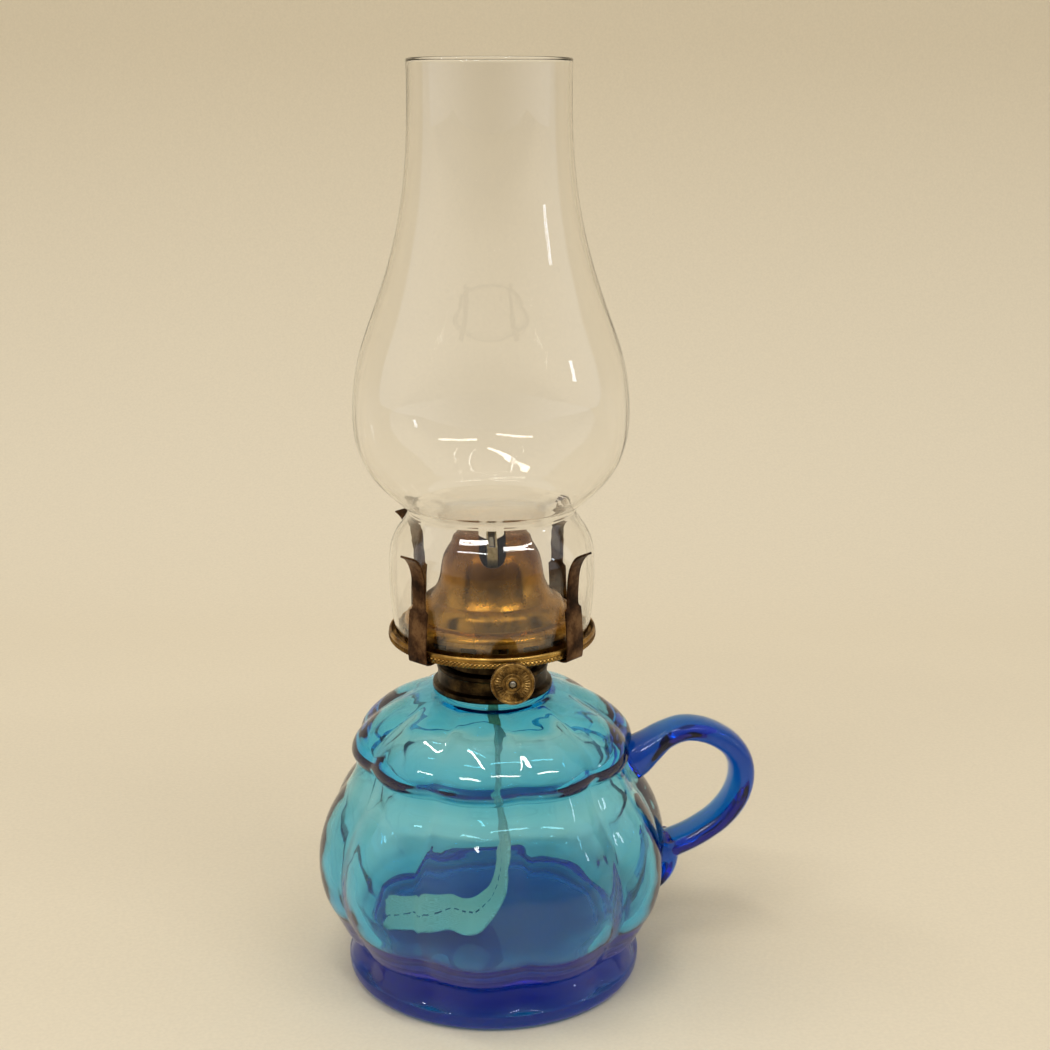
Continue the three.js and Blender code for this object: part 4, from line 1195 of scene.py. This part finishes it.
@dataclass
class FlameDeflector(Part):
    """The stepped bell over the wick, slit from front to back for the flame."""

    body: Body = Body.BURNER
    slot: Slot = Slot.AGED_BRASS
    finish: Finish = BELL_BRASS
    steps: int = 160
    crown: Rows = ((0, 178.5), (6, 178.4), (10.4, 178.1), (12.6, 177.7), (13.9, 176.9), (14.6, 175.8), (15, 174.4))
    bell: Rows = (
        (15, 174.4), (15.5, 173.2), (16.3, 171.8), (17.7, 169.6), (18.6, 166.8), (19.2, 163.4), (19.8, 159.8),
        (20.8, 157), (22, 154.9), (23.1, 153.4),
    )
    step: Rows = (
        (23.1, 153.4), (23.9, 153.1), (25.3, 152.4), (26.5, 151.2), (27.2, 149.8), (27.6, 148.3), (27.9, 147.1),
    )
    brim: Rows = (
        (27.9, 147.1), (28.4, 146.8), (29.6, 146.6), (31.2, 146.4), (32.3, 145.9), (33, 145.2), (33.3, 144.4),
    )
    sheet: float = 0.6
    slot_width: float = 10.0
    slot_depth: float = 9.4
    slot_corner: float = 4.6
    top: float = 177.8
    overrun: float = 6.0
    cutter: float = 80.0

    def build(self) -> None:
        """Makes the bell and cuts the flame slot with a round bottom."""
        line = joined(*(smooth_line(run) for run in (self.crown, self.bell, self.step, self.brim)))
        rows = walled(line, -self.sheet)[:-ARC_STEPS]
        rows[-1, 0] = 0
        tall = self.slot_depth + self.overrun
        bar = rounded_bar(self.slot_width, self.cutter, tall, self.slot_corner)
        slot = moved(bar, z=self.top - self.slot_depth + tall / 2)
        skin = in_burner(revolve(rows, self.steps))
        self.settle("deflector_bell", "flame_deflector", skin, (Merge.CUT, in_burner(slot)))


@dataclass
class Prongs(Part):
    """The four sprung strips that hug the chimney, wide below and narrow above, and their rivets."""

    body: Body = Body.BURNER
    slot: Slot = Slot.DARK_BRASS
    finish: Finish = SPRING_BRASS
    crease: float = STAMPED_CREASE
    names: tuple[str, ...] = ("front_left", "front_right", "back_right", "back_left")
    first: float = -133.0
    leans: tuple[float, ...] = (0.0, 0.3, 0.0, 2.6)
    course: Rows = (
        (28.8, 136.1), (35.5, 136.1), (39.4, 136.15), (40.35, 136.55), (40.6, 137.6), (40.6, 144.4),
        (40.1, 152.0), (39.4, 159.2), (39.6, 165.0), (39.9, 168.6), (40.6, 171.6), (41.8, 174.2), (43.4, 176.2),
        (45.2, 177.3),
    )
    per_span: int = 8
    section_steps: int = 20
    thickness: float = 0.8
    edge: float = 0.3
    wide: float = 9.0
    narrow: float = 6.2
    tip: float = 6.6
    shoulder: float = 155.7
    shoulder_fall: float = 1.0
    rivet: Rows = (
        (0, 134.3), (1.0, 134.36), (1.55, 134.7), (1.7, 135.1), (0.9, 135.1), (0.9, 137.8), (1.7, 137.8),
        (1.55, 138.2), (1.0, 138.5), (0, 138.56),
    )
    rivet_radius: float = 30.6
    rivet_steps: int = 24

    def strip(self, lean: float) -> Skin:
        """Carries a flat section with rounded edges along the course.

        The width falls from wide to narrow across the shoulder, and the tip's corners are rounded.
        Above the shoulder the course leans out with the square of the height.

        Args:
            lean: How far the tip leans out.

        Returns:
            The prong's surface.
        """
        course = smooth_line(self.course, self.per_span)
        above = np.clip((course[:, 1] - self.shoulder) / (course[-1, 1] - self.shoulder), 0, 1)
        course[:, 0] += lean * above**2
        fall = [self.shoulder, self.shoulder + self.shoulder_fall]
        wide = np.interp(course[:, 1:2], fall, [self.wide, self.narrow])
        wide[-2:, 0] = (self.narrow + self.tip) / 2, self.tip
        angle = columns_round(self.section_steps, 0.5)
        across = rounded(np.cos(angle), wide / 2, self.edge)
        return closed_grid(carried(course, across, rounded(np.sin(angle), self.thickness / 2, self.edge)))

    def build(self) -> None:
        """Makes each prong and its rivet."""
        rivet = moved(revolve(self.rivet, self.rivet_steps), self.rivet_radius)
        for i, (name, lean) in enumerate(zip(self.names, self.leans)):
            turn = [self.first + 90 * i]
            self.settle(f"prong_strip_{name}", f"prong_{name}", in_burner(copies(self.strip(lean), turn)))
            self.settle(f"rivet_{name}", f"prong_rivet_{name}", in_burner(copies(rivet, turn)))


@dataclass
class ThumbWheel(Part):
    """The wheel that raises the wick, coined with plain radial flutes, a ring of beads and a toothed edge."""

    body: Body = Body.RAISER
    slot: Slot = Slot.AGED_BRASS
    finish: Finish = COINED_BRASS
    crease: float = STAMPED_CREASE
    steps: int = 306
    back: float = 44.9
    outline: Rows = (
        (1.5, 0), (7.0, 0), (7.5, 0.1), (7.85, 0.4), (8.0, 0.8), (8.0, 1.7), (7.9, 2.2), (7.6, 2.5), (7.3, 2.6),
        (7.0, 2.55), (6.8, 2.35), (6.7, 2.1), (6.5, 2.0, 0.2), (6.2, 2.0, 1), (5.6, 2.0, 1), (5.0, 2.0, 1),
        (4.5, 2.0, 0.9), (4.2, 2.0, 0.2), (4.0, 2.05), (3.9, 2.25), (3.6, 2.35), (3.3, 2.3), (3.1, 2.15),
        (2.8, 2.15), (2.6, 2.5), (2.3, 2.72), (1.9, 2.75), (1.6, 2.65), (1.5, 2.4),
    )
    per_span: int = 2
    flutes: int = 34
    flute_height: float = 0.3
    flute_power: float = 1.6
    beads: int = 30
    bead_place: float = 3.6
    bead_width: float = 0.22
    bead_height: float = 0.14
    face: float = 1.0
    teeth: int = 54
    tooth_depth: float = 0.18
    tooth_place: float = 7.7
    tooth_span: tuple[float, float] = (0.2, 2.3)

    def coined(self, radius: Array, height: Array, angle: Array, share: Array) -> tuple[Array, Array]:
        """Coins the blank: cosines of the angle give flutes, sharpened by a power, beads and teeth.

        Args:
            radius: Radius of each row and column.
            height: Its height.
            angle: The columns' angles.
            share: The share of the flutes' height of each row.

        Returns:
            The new radius and height.
        """
        low, high = self.tooth_span
        flute = (0.5 + 0.5 * np.cos(self.flutes * angle)) ** self.flute_power
        lift = self.flute_height * share * flute
        swell = np.exp(-(((radius - self.bead_place) / self.bead_width) ** 2))
        bead = swell * (0.5 + 0.5 * np.cos(self.beads * angle)) * self.bead_height
        edge = (radius > self.tooth_place) & (height > low) & (height < high)
        nick = np.where(edge, 0.5 - 0.5 * np.cos(self.teeth * angle), 0)
        return radius - self.tooth_depth * nick, height + lift + bead * (height > self.face)

    def build(self) -> None:
        """Makes the wheel."""
        wheel = facing_front(revolve(smooth_line(filled(self.outline), self.per_span), self.steps, self.coined))
        wheel = in_burner(moved(wheel, SHAFT_X, -self.back, SHAFT_Z))
        self.settle("thumb_wheel_coined", "thumb_wheel", wheel)


@dataclass
class RaiserShaft(Part):
    """The wire shaft of the thumb wheel, with a riveted end."""

    body: Body = Body.RAISER
    slot: Slot = Slot.STEEL_WIRE
    finish: Finish = STEEL
    crease: float = STAMPED_CREASE
    steps: int = 32
    shaft: Rows = ((0, -11), (1.2, -11), (1.2, 46.9), (1.25, 47.3), (1.1, 47.6), (0.7, 47.85), (0, 47.95))

    def build(self) -> None:
        """Makes the shaft."""
        rod = moved(facing_front(revolve(self.shaft, self.steps)), SHAFT_X, 0, SHAFT_Z)
        self.settle("shaft_rod", "raiser_shaft", in_burner(rod))


@dataclass
class Wick:
    """The flat wick: down through the tube, hanging in the font, then lying along its floor.

    The lengths of its twist, slip and looseness are measured along it from its top.
    """

    course: Rows = (
        (0, 171.2), (0, 150), (0, 128), (0, 106), (0.4, 96), (1.6, 80), (3.2, 62), (4.0, 48), (3.2, 35),
        (-1, 25.2), (-7.5, 20.6), (-13.5, 20.9), (-18.5, 22.4), (-23.5, 21.0), (-28, 20.6), (-32.5, 22.4),
        (-37.5, 21.8), (-43, 21.6),
    )
    per_span: int = 10
    section_steps: int = 36
    width: float = 25.4
    thickness: float = 1.7
    edge_power: float = 0.6
    face_power: float = 0.45
    hang_start: float = 60.0
    hang_end: float = 98.0
    twist: float = -5.0
    twist_course: tuple[float, float, float] = (70.0, 120.0, 160.0)
    slip: float = -9.0
    slip_course: tuple[float, float] = (110.0, 155.0)
    loose_from: float = 90.0
    loose_over: float = 40.0
    waviness: float = 0.5
    wave_along: float = 3.1
    wave_across: float = 5.0
    fray: float = 1.1
    fray_length: float = 3.0
    fray_waves: tuple[float, float] = (2.7, 1.3)

    def ribbon(self) -> tuple[Skin, float]:
        """Carries the wick's section along its course.

        The section is flat with rounded edges. Below the tube it turns a little and slips sideways,
        its edges wave with a sine of the place along it, and its end frays with two sines across.

        Returns:
            The wick's surface, with its UV places in millimetres, and its length.
        """
        course = smooth_line(self.course, self.per_span)
        steps = np.linalg.norm(np.diff(course, axis=0), axis=1)
        along = np.concatenate([[0], np.cumsum(steps)])[:, None]
        length = float(along[-1, 0])
        angle = columns_round(self.section_steps, 0.5)
        across = squared(np.cos(angle), self.edge_power, self.width) + 0 * along
        thick = squared(np.sin(angle), self.face_power, self.thickness) + 0 * along
        loose = np.clip((along - self.loose_from) / self.loose_over, 0, 1)
        wave = np.sin(along / self.wave_along + across / self.wave_across)
        thick = thick + loose * self.waviness * wave * np.abs(across) / (self.width / 2)
        y = across + np.interp(along, self.slip_course, [0, self.slip])
        grid = carried(course, y, thick)
        grid[..., 0] += across * np.interp(along, self.twist_course, [0, math.tan(math.radians(self.twist)), 0])
        end = np.clip((along - length + self.fray_length) / self.fray_length, 0, 1)
        fine, coarse = self.fray_waves
        grid[..., 0] -= end * self.fray * (np.sin(across * fine) + np.sin(across * coarse + 1))
        skin = closed_grid(grid)
        places = np.stack([across, along + 0 * across], -1).reshape(-1, 2)
        skin.places = np.vstack([places, [0, 0], [0, length]])
        return skin, length

    def build(self) -> None:
        skin, length = self.ribbon()
        wick = make_piece("wick_ribbon", in_burner(skin), WovenCotton(), NO_CREASE)
        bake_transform(wick)
        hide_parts("wick", "wick_tail")
        log.info("%s: %d faces, bends between burner and wick", wick.name, len(wick.data.polygons))


@dataclass
class Chimney(Part):
    """The clear chimney: a fitter base, a waist, a bulge and a long stack with a fire-polished rim."""

    body: Body = Body.CHIMNEY
    slot: Slot = Slot.CLEAR_GLASS
    finish: Finish = CLEAR_GLASS
    crease: float = NO_CREASE
    steps: int = 160
    wall: float = 1.3
    fitter: Rows = (
        (36.5, 138.7), (36.9, 141), (37.8, 147), (38.5, 155), (38.7, 162.8), (38.5, 169.5), (37.6, 174.6),
        (35.6, 178.9), (33.3, 182.3), (31.7, 185.3), (31.5, 186.6),
    )
    stack: Rows = (
        (31.5, 186.6), (32.4, 188.4), (35.3, 191), (39.6, 195), (44, 199.8), (47.9, 206.3), (50.2, 213.8),
        (51, 221.8), (50.8, 229.8), (49.9, 237.5), (48, 245.8), (44.7, 255.8), (41, 265.8), (37.4, 276.8),
        (34.2, 288.8), (31.7, 301.8), (30.1, 315.8), (29.4, 331.8), (29.3, 345), (29.4, 349),
    )

    def build(self) -> None:
        """Makes the chimney."""
        line = joined(smooth_line(self.fitter), smooth_line(self.stack))
        self.settle("chimney_glass", "chimney", in_burner(revolve(walled(line, self.wall), self.steps)))


# The studio


@dataclass
class Lamp:
    """One soft lamp: its place in metres, what it faces, its size in metres and its watts."""

    name: str
    place: tuple[float, float, float]
    size: tuple[float, float]
    watts: float
    colour: str = "#FFFCF6"
    target: tuple[float, float, float] = (0.0, 0.0, 0.15)
    roll: float = 0.0

    def hang(self) -> None:
        """Puts the lamp in the scene, facing its target."""
        light = bpy.data.lights.new(self.name, "AREA")
        light.shape = "RECTANGLE"
        light.size, light.size_y = self.size
        light.energy, light.color = self.watts, linear(self.colour)[:3]
        lamp = bpy.data.objects.new(self.name, light)
        x, y, z = np.array(self.target) - np.array(self.place)
        turns = ((math.atan2(-x, y), "Z"), (math.atan2(math.hypot(x, y), -z), "X"), (math.radians(self.roll), "Z"))
        heading, tilt, roll = (Matrix.Rotation(angle, 3, axis) for angle, axis in turns)
        lamp.rotation_euler = (heading @ tilt @ roll).to_euler()
        lamp.location = self.place
        bpy.context.scene.collection.objects.link(lamp)


@dataclass
class Studio:
    """The cream cloth, the lamps, the room's light and the camera, in metres."""

    distance: float = 0.65
    beside: float = 0.01249
    height: float = 0.3631
    pitch: float = 0.2746
    azimuth: float = -10.0
    lens: float = 61.75
    sensor: float = 36.0
    clip: tuple[float, float] = (0.01, 50.0)
    room: str = "#FFFDFA"
    horizon: float = 0.2
    zenith: float = 0.55
    sides: float = 0.55
    floor: float = -0.0003
    cloth_front: tuple[float, float] = (-2.0, -0.7)
    cloth_back: float = 0.75
    cloth_bend: float = 0.35
    cloth_top: float = 2.4
    cloth_side: float = 3.0
    cloth_grid: tuple[int, int] = (24, 13)
    lamps: tuple[Lamp, ...] = (
        Lamp("tube_near", (-0.4, -0.3, 2.0), (1.2, 0.07), 9.5),
        Lamp("tube_left", (-0.9, -1.2, 1.8), (1.2, 0.09), 8.0, roll=6),
        Lamp("tube_right", (0.8, -1.2, 1.9), (1.2, 0.09), 8.0, roll=-22),
        Lamp("window", (1.9, -0.85, 0.75), (0.07, 0.3), 0.7, "#E6F0FF"),
    )

    def lay_cloth(self) -> None:
        """Lays a sheet that runs over the floor and sweeps up behind the lamp in a quarter circle."""
        bend_rows, columns = self.cloth_grid
        bend, back = self.cloth_bend, self.cloth_back
        angle = np.linspace(0, math.pi / 2, bend_rows)
        y = np.concatenate([self.cloth_front, back - bend + bend * np.sin(angle), [back]])
        z = np.concatenate([[0, 0], bend - bend * np.cos(angle), [self.cloth_top]]) + self.floor
        x = np.linspace(-self.cloth_side, self.cloth_side, columns)
        grid = np.stack(np.broadcast_arrays(x[None], y[:, None], z[:, None]), -1)
        points = turned(grid.reshape(-1, 3), self.azimuth)
        row, column = np.meshgrid(np.arange(len(y) - 1), np.arange(columns - 1), indexing="ij")
        first = (row * columns + column).reshape(-1, 1)
        faces = (first + np.array([0, 1, columns + 1, columns])).tolist()
        make_piece("cloth", Skin(points / MM, faces), StudioCloth(), NO_CREASE)

    def light_room(self) -> None:
        """Hangs the lamps and gives the room its light, brighter towards the ceiling and both sides."""
        for lamp in self.lamps:
            lamp.hang()
        world = bpy.data.worlds.new("room")
        world.use_nodes = True
        tree = world.node_tree
        tree.nodes.clear()
        split = add_node(tree, "SeparateXYZ", {0: add_node(tree, "TexCoord").outputs["Generated"]})
        rise = {"Value": split.outputs[2], "To Min": self.horizon, "To Max": self.zenith}
        height = add_node(tree, "MapRange", rise)
        square = add_node(tree, "Math", {0: split, 1: split}, operation="MULTIPLY")
        strength = add_node(tree, "Math", {0: square, 1: self.sides, 2: height}, operation="MULTIPLY_ADD")
        glow = add_node(tree, "Background", {"Color": linear(self.room), "Strength": strength})
        add_node(tree, "OutputWorld", {"Surface": glow})
        bpy.context.scene.world = world

    def place_camera(self) -> None:
        """Stands the camera where the photograph was taken from."""
        data = bpy.data.cameras.new("camera")
        data.sensor_fit, data.sensor_width, data.lens = "HORIZONTAL", self.sensor, self.lens
        data.clip_start, data.clip_end = self.clip
        camera = bpy.data.objects.new("camera", data)
        camera.location = turned(np.array([[self.beside, -self.distance, self.height]]), self.azimuth)[0]
        camera.rotation_euler = (math.pi / 2 - self.pitch, 0, math.radians(self.azimuth))
        bpy.context.scene.collection.objects.link(camera)
        bpy.context.scene.camera = camera
        bpy.context.scene.view_settings.view_transform = "Standard"


def main() -> None:
    """Builds the studio and the lamp in it."""
    logging.basicConfig(level=logging.INFO, format="%(name)s: %(message)s")
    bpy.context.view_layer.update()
    studio = Studio()
    studio.place_camera()
    studio.lay_cloth()
    studio.light_room()
    parts = (
        GlassFont, StrapHandle, Collar, BurnerShell, Gallery, AirRing, FlameDeflector, Prongs, ThumbWheel,
        RaiserShaft, Wick, Chimney,
    )
    for part in parts:
        part().build()
    dress("spur_wheel_front", COINED_BRASS)
    dress("spur_wheel_back", COINED_BRASS)
    dress("collar_cement", Plaster())
    dress("wick_tube", TUBE_BRASS)


if __name__ == "__main__":
    main()
